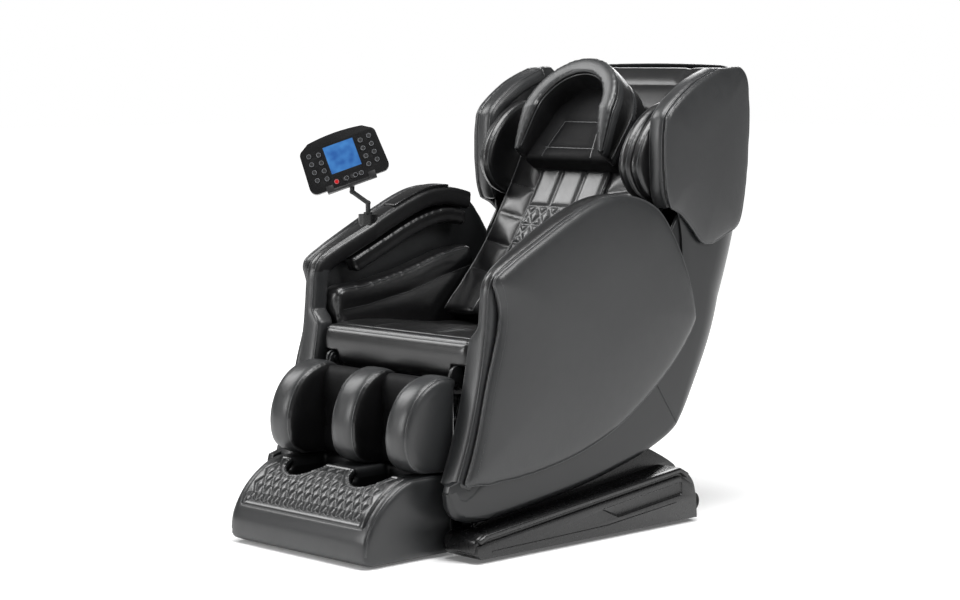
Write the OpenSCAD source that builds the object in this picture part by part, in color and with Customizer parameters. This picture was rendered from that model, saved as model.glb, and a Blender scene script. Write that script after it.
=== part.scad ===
// Massage chair with a zero-gravity tilt, a lifting leg rest and a tablet remote.
// Millimetres. The chair faces -Y, X = 0 is its symmetry plane and the floor is z = 0.
// Outlines are drawn in the side view (y, z) and extruded across X.

/* [Overall] */
// Clear width of the seat between the arms
seat_w = 500; // [420:1:610]
// Thickness of an arm, from the seat side to the outer leaf panel
arm_w = 90; // [75:1:110]
// How far the base covers stand out beyond the arms
base_out = 28; // [14:1:50]
// Height of the back above the waist
back_rise = 527; // [430:1:640]

/* [Shell] */
// Wall of the moulded shells and covers
shell_t = 6; // [4:0.5:8]
// Corner radius of the back shell in plan
corner_r = 118; // [90:1:130]
// Thickness of the outer leaf panels on the arms
leaf_t = 20; // [14:1:26]
// Width of the forward-facing rims of the head wings
rim_w = 46; // [36:1:56]

/* [Upholstery] */
// Thickness of the back pad over the rollers
back_pad_t = 52; // [40:1:62]
// Width of the back pad
back_pad_w = 452; // [370:1:480]
// Width of the quilted panel that zips onto the back pad
overlay_w = 236; // [190:1:290]
// Width of the head pillow
pillow_w = 300; // [240:1:360]

/* [Leg rest] */
// Width of the leg rest
legrest_w = 480; // [400:1:490]
// Width of one calf channel
calf_w = 132; // [106:1:150]
// Swing of the leg rest in degrees, for the slot of its lever
legrest_swing = 80; // [60:1:90]
// Radius of the leg rest hinge pins
legrest_pin_r = 6; // [4:0.5:8]

/* [Tilt] */
// Radius of the tilt trunnions on the base
trunnion_r = 8; // [6:0.5:11]
// Radius of an actuator's push rod
rod_r = 9; // [7:0.5:11]

/* [Massage carriage] */
// Radius of the two guide rails
rail_r = 10; // [8:0.5:13]
// Distance between the rails
rail_span = 320; // [260:1:380]
// Radius of a massage roller
roller_r = 30; // [24:0.5:34]
// Width of a massage roller
roller_w = 26; // [20:1:32]
// Distance between the left and right rollers
roller_gap = 110; // [88:1:134]
// Travel of the carriage along the rails
carriage_travel = 280; // [200:1:290]

/* [Wheels] */
// Radius of a transport wheel
wheel_r = 24; // [19:0.5:29]
// Width of a transport wheel
wheel_w = 20; // [15:1:26]

/* [Remote] */
// Width of the tablet remote
tablet_w = 206; // [165:1:250]
// Height of the tablet remote at its arched middle
tablet_h = 132; // [105:1:160]
// Thickness of the tablet remote
tablet_t = 18; // [14:1:24]
// Radius of a round key
key_r = 6; // [4.8:0.1:7.2]

/* [Hidden] */

// Across the chair
in_x = seat_w / 2;                 // inner face of an arm
out_x = in_x + arm_w;              // outer face of a leaf panel
shell_x = out_x - leaf_t;          // outer face of the side skirts and back shell
base_x = out_x + base_out;
gap = 0.4;                         // ordinary gap between soft or moulded neighbours
run = 0.05;                        // radial running clearance of a pin

// Steelwork
plate_t = 6;
frame_x = in_x - 30;               // outer face of the seat frame's side plates
tower_x = frame_x + 3;             // inner face of the base towers
tilt_p = [240, 230];               // tilt axis in the side view
leg_p = [-268, 412];               // leg rest axis in the side view

// The back is drawn at one rise and stretched above the waist
waist_z = 600;
drawn_rise = 527;
function lift(p) = [p[0], p[1] <= waist_z ? p[1] : waist_z + (p[1] - waist_z) * back_rise / drawn_rise];
function lift_all(ps) = [for (p = ps) lift(p)];

// A smooth open curve through its points
function pt(ps, i) = ps[max(0, min(len(ps) - 1, i))];
function spot(a, b, c, d, t) =
  0.5 * (2 * b + (c - a) * t + (2 * a - 5 * b + 4 * c - d) * t * t
         + (3 * b - a - 3 * c + d) * t * t * t);
function curve(ps, n = 5) = [
  for (i = [0 : len(ps) - 2], k = [0 : n - 1])
    spot(pt(ps, i - 1), pt(ps, i), pt(ps, i + 1), pt(ps, i + 2), k / n),
  pt(ps, len(ps) - 1)
];
function rev(ps) = [for (i = [len(ps) - 1 : -1 : 0]) ps[i]];
// Unit vector square to a curve at a point, on its left as the curve runs
function side_at(ps, i) =
  let (d = pt(ps, i + 1) - pt(ps, i - 1))
  [-d[1], d[0]] / norm(d);
function beside(ps, d) = [for (i = [0 : len(ps) - 1]) ps[i] + d * side_at(ps, i)];
function band(ps, d) = concat(ps, rev(beside(ps, d)));

// A side-view outline extruded from x0 to x1
module slab(ps, x0, x1) {
  translate([x0, 0, 0]) rotate([90, 0, 90]) linear_extrude(x1 - x0) polygon(ps);
}
// A cylinder along X at a side-view point
module rod_x(p, r, x0, x1) {
  translate([x0, p[0], p[1]]) rotate([0, 90, 0]) cylinder(r = r, h = x1 - x0, $fn = 48);
}
module right() { mirror([1, 0, 0]) children(); }
module pair() {
  children();
  mirror([1, 0, 0]) children();
}
module box(x, y, z) {
  translate([x[0], y[0], z[0]]) cube([x[1] - x[0], y[1] - y[0], z[1] - z[0]]);
}
// A plate with rounded ends between two side-view points
module link(a, b, ra, rb, x0, x1) {
  d = b - a;
  l = norm(d);
  u = d / l;
  n = [-u[1], u[0]];
  rod_x(a, ra, x0, x1);
  rod_x(b, rb, x0, x1);
  slab([a + n * ra, b + n * rb, b - n * rb, a - n * ra], x0, x1);
}

/* ---------------- base ---------------- */
rail_s = 40;                       // base tube section
tube_in = [3, -3];                 // from a tube's outer faces to its bore
foot_h = 10;
rail_z = [foot_h + 20, foot_h + 20 + rail_s];
rail_y = [-255, 372];
rail_x = [tower_x - 36, tower_x + 4];
cross_front_y = -232;
cross_rear_y = 300;
wheel_p = [440, 38];
wheel_x = base_x - 62;
axle_r = 5;
tilt_a = [96, 92];                 // lower pivot of the tilt actuator, on the base
tilt_b = [-62, 282];               // upper pivot of the tilt actuator, on the seat frame

module tilt_frame_bracket() {
  pair() link([tilt_a[0], rail_z[1] - 8], tilt_a, 14, 14, 16, 16 + plate_t);
}

module base_frame() {
  color("dimgray") {
    difference() {
      union() {
        pair() difference() {
          box(rail_x, rail_y, rail_z);
          box(rail_x + tube_in, rail_y + [-1, 1], rail_z + tube_in);
        }
        for (y = [cross_front_y, -rail_s / 2, tilt_a[0] - rail_s / 2, cross_rear_y]) difference() {
          box([-rail_x[0], rail_x[0]], [y, y + rail_s], rail_z);
          box([-rail_x[0] + 1, rail_x[0] - 1], [y, y + rail_s] + tube_in, rail_z + tube_in);
        }
        // towers that carry the tilt trunnions
        pair() slab([[150, rail_z[1] - 20], [320, rail_z[1] - 20], tilt_p + [24, 0],
                     tilt_p - [24, 0]], tower_x, tower_x + plate_t);
        pair() rod_x(tilt_p, 24, tower_x, tower_x + plate_t);
        pair() rod_x(tilt_p, trunnion_r, frame_x - plate_t - 4, tower_x + 1);
        tilt_frame_bracket();
        // wheel brackets and axles
        pair() box([wheel_x - 12, wheel_x - 4], [rail_y[1] - 40, wheel_p[0] + 12],
                   [wheel_p[1] - 12, wheel_p[1] + 12]);
        pair() box([rail_x[1] - 4, wheel_x - 4], [rail_y[1] - 40, rail_y[1] - 16],
                   [wheel_p[1] - 6, wheel_p[1] + 12]);
        pair() rod_x(wheel_p, axle_r, wheel_x - 6, wheel_x + wheel_w + 4);
      }
      rod_x(tilt_a, 6 + run, -30, 30);
    }
  }
}

ledge_front = [-318, 66];
ledge_rear = [345, 140];
base_front_y = -347;
horn_x = legrest_w / 2 + 15;       // inner face of the base covers beside the leg rest
upper_x = shell_x - 22;            // outer face of the covers' upper wall, inside the skirts

function plinth_line() = concat(
  [[base_front_y + 14, foot_h - 2], [base_front_y, foot_h + 12]],
  curve([[base_front_y, 36], [-342, 56], ledge_front], 4),
  curve([ledge_rear, [380, 122], [404, 96], [414, 60]], 4),
  [[417, foot_h - 2]]);
function hump_line() = concat(
  [[-300, 40], [-300, 60]],
  curve([[-240, 92], [0, 118], [150, 150], [262, 192], [300, 186], [400, 133], [408, 100]], 4),
  [[408, 40]]);

// Moulded side cover: a low plinth with a ledge, and an upper wall under the skirt
module base_cover() {
  color("#232426") {
    difference() {
      slab(plinth_line(), horn_x, base_x);
      translate([-0.01, 0, 0])
        slab([[base_front_y + shell_t, foot_h - 3], [base_front_y + shell_t, 50],
              [ledge_front[0], ledge_front[1] - shell_t - 2],
              [ledge_rear[0] - 6, ledge_rear[1] - shell_t - 2], [396, 90],
              [417 - shell_t, foot_h - 3]], horn_x, base_x - shell_t);
      // room for the transport wheel
      box([wheel_x - 14, base_x + 1], [wheel_p[0] - wheel_r - 18, 430], [0, wheel_p[1] + wheel_r + 8]);
      // slit for the upper wall's channel and the frame's outrigger
      box([horn_x - 1, horn_x + 30], [rail_y[1] - 44, rail_y[1] - 12], [0, wheel_p[1] + 18]);
    }
    difference() {
      slab(hump_line(), upper_x - shell_t, upper_x);
      slab([[-400, 0], [420, 0], [420, 148], [ledge_rear[0], ledge_rear[1] - 3],
            [ledge_front[0], ledge_front[1] - 3], [-400, 60]],
           upper_x - shell_t - 1, upper_x + 1);
    }
  }
}
module base_cover_left() { base_cover(); }
module base_cover_right() { right() base_cover(); }

inlet_x = 92;
inlet_z = 62;
inlet_w = 30;
inlet_h = 24;
rocker_x = 142;
rocker_w = 14;
rocker_h = 21;
rear_y = 388;
module base_rear_cover() {
  color("#232426") difference() {
    union() {
      box([-horn_x + gap, horn_x - gap], [rear_y, rear_y + shell_t], [foot_h, 128]);
      box([-horn_x + gap, horn_x - gap], [rear_y - 46, rear_y], [128 - shell_t, 128]);
    }
    box([inlet_x - inlet_w / 2, inlet_x + inlet_w / 2], [rear_y - 1, rear_y + shell_t + 1],
        [inlet_z - inlet_h / 2, inlet_z + inlet_h / 2]);
    box([rocker_x - rocker_w / 2 - 3, rocker_x + rocker_w / 2 + 3],
        [rear_y - 1, rear_y + shell_t + 1], [inlet_z - rocker_h / 2 - 3, inlet_z + rocker_h / 2 + 3]);
  }
}

// Mains inlet and the frame that the rocker switch sits in, one snap-in unit
module power_inlet() {
  color("#101012") difference() {
    union() {
      box([inlet_x - 20, rocker_x + 14], [rear_y + shell_t, rear_y + shell_t + 3],
          [inlet_z - 18, inlet_z + 18]);
      box([inlet_x - inlet_w / 2 + 0.5, inlet_x + inlet_w / 2 - 0.5],
          [rear_y - 26, rear_y + shell_t],
          [inlet_z - inlet_h / 2 + 0.5, inlet_z + inlet_h / 2 - 0.5]);
      box([rocker_x - rocker_w / 2 - 2.5, rocker_x + rocker_w / 2 + 2.5],
          [rear_y - 20, rear_y + shell_t],
          [inlet_z - rocker_h / 2 - 2.5, inlet_z + rocker_h / 2 + 2.5]);
    }
    box([inlet_x - 12.5, inlet_x + 12.5], [rear_y - 14, rear_y + 20], [inlet_z - 8.5, inlet_z + 8.5]);
    box([rocker_x - rocker_w / 2, rocker_x + rocker_w / 2], [rear_y - 14, rear_y + 20],
        [inlet_z - rocker_h / 2, inlet_z + rocker_h / 2]);
  }
  color("silver") for (x = [-7, 0, 7])
    box([inlet_x + x - 1, inlet_x + x + 1], [rear_y - 15, rear_y + 2],
        [inlet_z - 3 + (x == 0 ? 2 : 0), inlet_z + 1 + (x == 0 ? 2 : 0)]);
}
rocker_p = [rear_y + 2, inlet_z];
module power_rocker() {
  w = rocker_w / 2 - 0.5;
  h = rocker_h / 2 - 2.2;
  color("#7a1014") slab([[rocker_p[0] - 2, inlet_z - h + 2], [rocker_p[0] + 5, inlet_z - h],
        [rocker_p[0] + 7, inlet_z], [rocker_p[0] + 11, inlet_z + h],
        [rocker_p[0] - 2, inlet_z + h - 2]], rocker_x - w, rocker_x + w);
}

module rubber_feet() {
  x = (rail_x[0] + rail_x[1]) / 2;
  // one under each corner of the frame and one under its middle
  color("#18181a") for (p = [[-x, -215], [x, -215], [-x, 335], [x, 335], [0, 0]])
    translate([p[0], p[1], 0]) {
      cylinder(r1 = 17, r2 = 20, h = foot_h, $fn = 48);
      translate([0, 0, foot_h]) cylinder(r = 8, h = 20, $fn = 32);
    }
}

module transport_wheel() {
  color("#1c1c1e") difference() {
    union() {
      rod_x(wheel_p, wheel_r, wheel_x, wheel_x + wheel_w);
      rod_x(wheel_p, 9, wheel_x - 1, wheel_x + wheel_w + 1);
    }
    rod_x(wheel_p, axle_r + run, wheel_x - 2, wheel_x + wheel_w + 2);
    for (s = [wheel_x - 1, wheel_x + wheel_w - 4]) difference() {
      rod_x(wheel_p, wheel_r - 6, s, s + 5);
      rod_x(wheel_p, 11, s - 1, s + 6);
    }
  }
}
module transport_wheel_left() { transport_wheel(); }
module transport_wheel_right() { right() transport_wheel(); }

/* ---------------- actuators ---------------- */
// Linear actuator drawn along a line from a to b, in the side view
module along(a, b) {
  d = b - a;
  translate([0, a[0], a[1]]) rotate([atan2(d[1], d[0]) - 90, 0, 0]) children();
}
eye_play = 4;                      // clearance of the pivot at which a linkage is opened
tilt_len = norm(tilt_b - tilt_a);
module tilt_actuator() {
  color("#2b2c2e") along(tilt_a, tilt_b) difference() {
    union() {
      translate([-15, 0, 0]) rotate([0, 90, 0]) cylinder(r = 13, h = 30, $fn = 48);
      translate([-14, -13, 0]) cube([28, 26, 24]);
      translate([0, 0, 22]) cylinder(r = motor_r, h = tilt_len - 76, $fn = 48);
      // gear motor on the side of the tube
      translate([20, 0, 30]) cylinder(r = 17, h = 96, $fn = 48);
    }
    translate([0, 0, 34]) cylinder(r = rod_r + run, h = tilt_len, $fn = 48);
    translate([-40, 0, 0]) rotate([0, 90, 0]) cylinder(r = 6 + run, h = 80, $fn = 48);
  }
  color("silver") rod_x(tilt_a, 6, -24, 24);
}
module tilt_actuator_rod() {
  color("silver") along(tilt_a, tilt_b) difference() {
    union() {
      translate([0, 0, 38]) cylinder(r = rod_r, h = tilt_len - 50, $fn = 48);
      translate([-9, 0, tilt_len]) rotate([0, 90, 0]) cylinder(r = 17, h = 18, $fn = 48);
    }
    translate([-20, 0, tilt_len]) rotate([0, 90, 0]) cylinder(r = 6 + eye_play, h = 40, $fn = 48);
  }
}

/* ---------------- seat ---------------- */
seat_top = 492;
board_z = [404, 408];              // underside and top of the seat pan
lever_r = 80;                      // radius at which the push rod works the leg rest lever
lever_u = [sin(legrest_swing / 2), -cos(legrest_swing / 2)];
push_z = leg_p[1] - lever_r * cos(legrest_swing / 2);
push_y = leg_p[0] + lever_r * sin(legrest_swing / 2);
push_motor_y = [-60, 96];
clevis_h = 30;                     // from the tilt actuator's upper pin up to its cross tube
motor_r = 19;                      // radius of an actuator's tube

module seat_frame() {
  color("#3a3b3d") {
    difference() {
      union() {
        // side plates from the tilt axis to the leg rest axis
        pair() slab([[-262, board_z[0]], [-262, 380], [-150, 330], [60, 250],
                     tilt_p - [20, 24], tilt_p + [24, 0], [300, 330], [330, board_z[0]]],
                    frame_x - plate_t, frame_x);
        pair() rod_x(tilt_p, 26, frame_x - plate_t, frame_x);
        pair() rod_x(leg_p, 18, frame_x - plate_t, frame_x);
        pair() slab([leg_p + [4, -18], leg_p + [60, -18], [-200, board_z[0]], leg_p + [4, -2]],
                    frame_x - plate_t, frame_x);
        // cross tubes
        for (p = [[-165, 384], [270, 372]]) rod_x(p, 14, plate_t - frame_x - 1, frame_x - plate_t + 1);
        rod_x(tilt_b + [0, clevis_h], 12, plate_t - frame_x - 1, frame_x - plate_t + 1);
        // seat pan
        box([-in_x + 6, in_x - 6], [-250, 336], board_z);
        // upper clevis of the tilt actuator
        pair() link(tilt_b + [0, clevis_h], tilt_b, 14, 13, 12, 12 + plate_t);
        rod_x(tilt_b, 6, -18, 18);
        // saddle that holds the leg rest actuator under the pan
        difference() {
          box([-16, 16], [0, 50], [push_z + 8, board_z[0] + 1]);
          translate([0, 60, push_z]) rotate([90, 0, 0]) cylinder(r = motor_r + gap, h = 80, $fn = 48);
        }
      }
      pair() rod_x(tilt_p, trunnion_r + run, frame_x - 30, frame_x + 30);
    }
    // leg rest hinge pins, welded into the side plates
    pair() rod_x(leg_p, legrest_pin_r, frame_x - plate_t - 12, frame_x - plate_t + 1);
  }
}

apron_y = -262;
function seat_line() = curve([[-232, seat_top], [-150, seat_top + 2], [-20, seat_top - 14],
                              [60, seat_top - 22]], 5);
seat_rear_y = 196;                 // under the lower end of the back pad
module seat_pad() {
  color("#333436") slab(concat([[-232, board_z[1] + gap]], seat_line(),
    [[seat_rear_y, seat_top - 24], [seat_rear_y, board_z[1] + gap]]), -in_x + gap + 3, in_x - gap - 3);
}
// Front roll of the seat, over the edge of the pan
module seat_apron() {
  color("#303133") slab(concat([[-232 - gap, 440], [-252, 440]],
    curve([[apron_y, 446], [apron_y - 2, 466], [-254, 486], [-232 - gap, seat_top]], 5)),
    -in_x + gap + 3, in_x - gap - 3);
}

/* ---------------- side skirts and back shell ---------------- */
shell_foot = [392, 226];           // where the skirts end and the back shell begins
foot_depth = 190;                  // depth of the shell's side walls there
foot_r = 24;                       // corner radius of the shell there, growing up the back
skirt_tip = shell_foot - [1, 0];
function skirt_low() = curve([[-399, 166], [-388, 126], [-350, 90], [-267, 81], [-112, 96],
                              [57, 122], [184, 150], [290, 180], skirt_tip], 5);
module skirt() {
  slab(concat(skirt_low(), [skirt_tip + foot_depth * side_at(back_path(), 0), [150, 300], [60, 258],
                            [-100, 216], [-250, 196], [-392, 190]]), shell_x - shell_t, shell_x);
}
module side_skirts() {
  color("#4a4b4d") pair() skirt();
}

// Back shell: a channel section swept up the back, open towards the seat
function back_path() = curve(lift_all([shell_foot, [478, 317], [572, 452], [634, 596],
                                       [679, 749], [697, 900], [692, 1030], [656, 1118]]), 4);
// Depth of the side walls along the path: deepest at the waist, under the wings
shell_depths = [for (p = curve([[0, foot_depth], [4, 180], [8, 190], [12, 250], [16, 300],
                                [20, 200], [24, 150], [28, 122]], 4)) p[1]];
// Section of the channel: half width w, wall depth l, and its skin set in by d
function channel(w, l, r, crown, d) = concat(
  [[w - d, l]],
  [for (a = [0 : 15 : 90]) [w - r + (r - d) * cos(a), r - (r - d) * sin(a)]],
  [[(w - r) / 2, d - crown * 0.75], [0, d - crown], [-(w - r) / 2, d - crown * 0.75]],
  [for (a = [90 : -15 : 0]) [-w + r - (r - d) * cos(a), r - (r - d) * sin(a)]],
  [[d - w, l]]);
module swept_channel(path, w, depths, radii, t, crown) {
  n = len(path);
  m = len(channel(w, depths[0], radii[0], crown, 0));
  // each ring holds the outer section and then the inner one, back the other way
  rings = [for (i = [0 : n - 1])
    let (s = side_at(path, i), l = depths[i], r = min(radii[i], l - 2),
         o = channel(w, l, r, crown, 0), q = channel(w, l, r, crown, t))
    concat([for (p = o) [p[0], path[i][0] + s[0] * p[1], path[i][1] + s[1] * p[1]]],
           [for (p = rev(q)) [p[0], path[i][0] + s[0] * p[1], path[i][1] + s[1] * p[1]]])];
  k = 2 * m;
  pts = [for (ring = rings) for (p = ring) p];
  skin = [for (i = [0 : n - 2], j = [0 : k - 1])
    [i * k + j, i * k + (j + 1) % k, (i + 1) * k + (j + 1) % k, (i + 1) * k + j]];
  ends = [for (e = [0, n - 1], j = [0 : m - 2])
    e == 0 ? [j, k - 1 - j, k - 2 - j, j + 1]
           : [e * k + j, e * k + j + 1, e * k + k - 2 - j, e * k + k - 1 - j]];
  polyhedron(pts, concat(skin, ends), convexity = 8);
}
// Its corner radius grows from the foot over the first ten rings
shell_radii = [for (i = [0 : 28]) foot_r + (corner_r - foot_r) * min(1, i / 10)];
module back_shell() {
  color("#4a4b4d") swept_channel(back_path(), shell_x, shell_depths, shell_radii, shell_t, 8);
}

// Lining panels of the waist, inside the back shell and beside the back pad
module waist_panels() {
  // its rear edge follows the flat part of the shell's side wall
  color("#3f4042") pair() slab(concat(
    [for (i = [4 : 16]) back_path()[i] + (corner_r + 6) * side_at(back_path(), i)],
    lift_all(concat(curve([[520, 745], [430, 760], [388, 750]], 3), [[350, 690], [300, 500]]))),
    shell_x - shell_t - gap - 10, shell_x - shell_t - gap);
}

/* ---------------- arms ---------------- */
function leaf_line() = concat(
  curve([[-359, 174], [-317, 265], [-283, 395], [-252, 500], [-248, 572], [-279, 632]], 4),
  curve([[-272, 642], [-158, 697], [-15, 767], [80, 804], [156, 812], [230, 800], [296, 769],
         [350, 706], [401, 616], [432, 520], [424, 476], [332, 377], [176, 270], [30, 211],
         [-132, 179], [-280, 169]], 4));
module arm_panel() { color("#57585a") slab(leaf_line(), shell_x + gap, out_x); }
module arm_panel_left() { arm_panel(); }
module arm_panel_right() { right() arm_panel(); }

// Upholstered front of the arm, from the skirt up to the armrest
arm_in = in_x + 2;
front_edge = [[-352, 196], [-326, 262], [-300, 350], [-282, 430], [-270, 520], [-267, 582]];
module arm_front() {
  color("#454648") slab(band(curve(front_edge, 5), -44), arm_in + 6, shell_x - shell_t - gap);
}
module arm_front_left() { arm_front(); }
module arm_front_right() { right() arm_front(); }

// Top rail of the arm, rolling over to the front
rail_edge = [[-268, 620], [-226, 660], [-120, 712], [-14, 762], [90, 800], [170, 806], [250, 790]];
module arm_rail() {
  color("#4c4d4f") slab(band(curve(rail_edge, 5), -42), arm_in + 10, shell_x - gap);
}
module arm_rail_left() { arm_rail(); }
module arm_rail_right() { right() arm_rail(); }

// Air cushion over the forearm, under the top rail
bag_edge = [[-150, 640], [-60, 680], [60, 730], [160, 752], [230, 742]];
module forearm_bags() {
  color("#242527") pair() slab(band(curve(bag_edge, 5), -34), arm_in + 16, shell_x - 12);
}
// Forearm rest with its inner side, down to the seat
function arm_pad_line() = concat(
  curve([[-214, 500], [-218, 548], [-200, 572], [-120, 578], [20, 606], [140, 640], [230, 652]], 4),
  [[250, 560], [230, 430], [-200, 430]]);
module arm_pad() {
  color("#2c2d2f") slab(arm_pad_line(), arm_in, arm_in + 52);
}
module arm_pad_left() { arm_pad(); }
module arm_pad_right() { right() arm_pad(); }

/* ---------------- head wings ---------------- */
wing_front = [[344, 772], [330, 812], [324, 880], [326, 966], [344, 1010], [430, 1071], [520, 1107]];
function wing_line() = lift_all(concat(
  curve(wing_front, 5),
  curve([[600, 1112], [628, 1080], [636, 980], [628, 840], [604, 728], [567, 704]], 4),
  curve([[505, 679], [462, 682], [420, 722], [381, 757]], 4)));
wing_x = shell_x;                  // outer face of the wings' structure
module wing_panel() { color("#57585a") slab(wing_line(), wing_x + gap, wing_x + gap + 11); }
module wing_panel_left() { wing_panel(); }
module wing_panel_right() { right() wing_panel(); }
module wing_rims() {
  color("#4c4d4f") pair() slab(lift_all(band(curve(wing_front, 5), -30)), wing_x - rim_w, wing_x);
}
// Shoulder air cushions, standing forward inside the wings
bag_x = wing_x - rim_w - 4;
function shoulder_line() = lift_all(concat(
  curve([[345, 790], [300, 812], [272, 860], [276, 900], [300, 945], [345, 990], [400, 1018],
         [440, 1016]], 4),
  [[494, 985], [438, 888], [418, 820]]));
module shoulder_bags() {
  color("#3b3c3e") pair() slab(shoulder_line(), back_pad_w / 2 + 2, bag_x);
}

/* ---------------- back ---------------- */
// The line of the pad's front face, and the straight line of the rails behind it
pad_face = lift_all([[110, 504], [136, 532], [178, 574], [240, 646], [292, 720], [348, 812], [392, 895]]);
back_low = [178, 574];
back_dir = (lift([392, 895]) - back_low) / norm(lift([392, 895]) - back_low);
back_nor = [-back_dir[1], back_dir[0]];
function behind(s, d) = back_low + back_dir * s - back_nor * d;
pad_hollow = 15;                   // dip of the pad's face behind the straight line
tap = 6;                           // swing of a massage arm in degrees, each way
roller_pitch = roller_r * 2 + 36;  // between the two rollers of one arm
roller_d = back_pad_t + pad_hollow + roller_r + roller_pitch / 2 * sin(tap) + 6;
arm_d = roller_d + 14;             // pivot of the massage arms
plate_front = 18;                  // from the rails forward to the carriage plate's face
rail_d = arm_d + 23 + plate_front; // rails, behind the pad's face
rail_s0 = -70;
back_angle = atan2(back_dir[1], back_dir[0]);
module on_back(s, d) {
  p = behind(s, d);
  translate([0, p[0], p[1]]) rotate([back_angle - 90, 0, 0]) children();
}
rail_s1 = norm(lift([392, 895]) - back_low) + 30;

plate_x = rail_span / 2 + 26;
module back_frame() {
  color("#3a3b3d") {
    // side plates, standing on the seat pan and running up to the head
    pair() slab([behind(rail_s0 - 6, rail_d - 20), behind(rail_s1, rail_d - 20),
                 behind(rail_s1, rail_d + 30), behind(rail_s0 + 14, rail_d + 40),
                 [330, board_z[1]], [262, board_z[1]]], plate_x, plate_x + plate_t);
    // cross tubes beyond the rails' ends
    for (s = [rail_s0 + 4, rail_s1 - 18])
      rod_x(behind(s, rail_d), 12, -plate_x - 1, plate_x + 1);
    // guide rails of the massage carriage, welded between the cross tubes
    pair() on_back(rail_s0 + 4, rail_d) translate([rail_span / 2, 0, 0])
      cylinder(r = rail_r, h = rail_s1 - rail_s0 - 22, $fn = 48);
  }
}
// Padded lining between the wings, from the back pad up to the shell's top edge
lining_line = lift_all([[448, 884], [516, 990], [576, 1064], [615, 1104]]);
module head_lining() {
  color("#2a2b2d") slab(band(curve(lining_line, 4), -14), -wing_x + rim_w + gap, wing_x - rim_w - gap);
}

function pad_front() = curve(pad_face, 5);
module back_pad() {
  color("#333436") slab(band(pad_front(), -back_pad_t), -back_pad_w / 2, back_pad_w / 2);
}
// Quilted panel, zipped to the front of the back pad
module back_overlay() {
  color("#2f3032") slab(band([for (p = curve([for (i = [2 : 5]) pad_face[i]], 5)) p + back_nor * 0.3], 12),
    -overlay_w / 2, overlay_w / 2);
}
// Head pillow: an arched hood over a face rest
pillow_at = lift([361, 853]);
pillow_lean = atan(tan(54) * back_rise / drawn_rise);   // it leans as the back does
pillow_d = 138;
pillow_wall = 30;
pillow_side = 105;                 // height of its straight sides
module pillow_arch(w, side, low) {
  translate([0, side]) circle(r = w, $fn = 72);
  translate([-w, low]) square([2 * w, side - low]);
}
module head_pillow() {
  w = pillow_w / 2;
  color("#36373a") translate([0, pillow_at[0], pillow_at[1]]) rotate([pillow_lean, 0, 0]) difference() {
    linear_extrude(pillow_d) pillow_arch(w, pillow_side, 0);
    translate([0, 0, 62]) linear_extrude(pillow_d)
      pillow_arch(w - pillow_wall, pillow_side, pillow_wall);
  }
}

/* ---------------- massage carriage ---------------- */
carriage_top = 300;                // highest place of the carriage along the back
park_s = carriage_top - carriage_travel;
pin_r = 7;
arm_x = roller_gap / 2 - roller_w / 2 - 5;   // outer face of a massage arm's plate
arm_t = 7;
lug_x = arm_x - arm_t - 2;

module massage_carriage() {
  color("#55575a") on_back(park_s, rail_d) difference() {
    union() {
      pair() translate([rail_span / 2, 0, -45]) cylinder(r = rail_r + 6, h = 90, $fn = 48);
      translate([-rail_span / 2, -plate_front, -40]) cube([rail_span, 8, 80]);
      // lugs and pins of the massage arms
      pair() translate([lug_x - 12, arm_d - rail_d - 12, -14]) cube([12, rail_d - arm_d - 5, 28]);
      pair() translate([lug_x - 12, arm_d - rail_d, 0]) rotate([0, 90, 0])
        cylinder(r = pin_r, h = arm_t + 15, $fn = 48);
      // motor and worm gear behind the plate
      translate([-70, -10.5, -36]) cube([92, 40, 58]);
      translate([20, 10, 0]) rotate([0, 90, 0]) cylinder(r = 20, h = 72, $fn = 48);
    }
    pair() translate([rail_span / 2, 0, -60]) cylinder(r = rail_r + run, h = 120, $fn = 48);
  }
}
module massage_arm() {
  h = roller_pitch / 2;
  f = roller_d - arm_d;
  color("#2a5f86") on_back(park_s, arm_d) difference() {
    union() {
      translate([arm_x - arm_t, 0, 0]) rotate([90, 0, 90]) linear_extrude(arm_t)
        polygon([[13, 0], [8, 14], [f + 8, h + 6], [f - 9, h + 6], [f - 9, h - 8], [-8, 0],
                 [f - 9, 8 - h], [f - 9, -h - 6], [f + 8, -h - 6], [8, -14]]);
      translate([arm_x - arm_t, 0, 0]) rotate([0, 90, 0]) cylinder(r = 14, h = arm_t, $fn = 48);
      for (z = [-h, h]) translate([arm_x - 1, f, z]) rotate([0, 90, 0])
        cylinder(r = 5, h = roller_w + 11, $fn = 48);
    }
    translate([arm_x - arm_t - 1, 0, 0]) rotate([0, 90, 0])
      cylinder(r = pin_r + run, h = arm_t + 2, $fn = 48);
  }
}
module massage_arm_left() { massage_arm(); }
module massage_arm_right() { right() massage_arm(); }
module roller(up_or_down) {
  color("#3c3f42") on_back(park_s, roller_d)
    translate([roller_gap / 2, 0, up_or_down * roller_pitch / 2]) rotate([0, 90, 0])
      rotate_extrude($fn = 64) polygon(concat(
        [[5 + run, -roller_w / 2], [roller_r - 7, -roller_w / 2]],
        [for (a = [-75 : 15 : 75]) [roller_r - 7 + 7 * cos(a), roller_w / 2 * sin(a)]],
        [[roller_r - 7, roller_w / 2], [5 + run, roller_w / 2]]));
}
module roller_upper_left() { roller(1); }
module roller_upper_right() { right() roller(1); }
module roller_lower_left() { roller(-1); }
module roller_lower_right() { right() roller(-1); }

/* ---------------- leg rest ---------------- */
leg_x = legrest_w / 2;
divider_w = 76;                    // middle lobe between the calf channels
lobe_x = divider_w / 2 + calf_w;   // inner face of a side lobe
leg_plate_y = -299;
guide_y = -283;
guide_r = 6;
guide_x = frame_x - 36;
hinge_x = frame_x - plate_t - 1;   // outer face of the leg rest's hinge brackets

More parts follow.
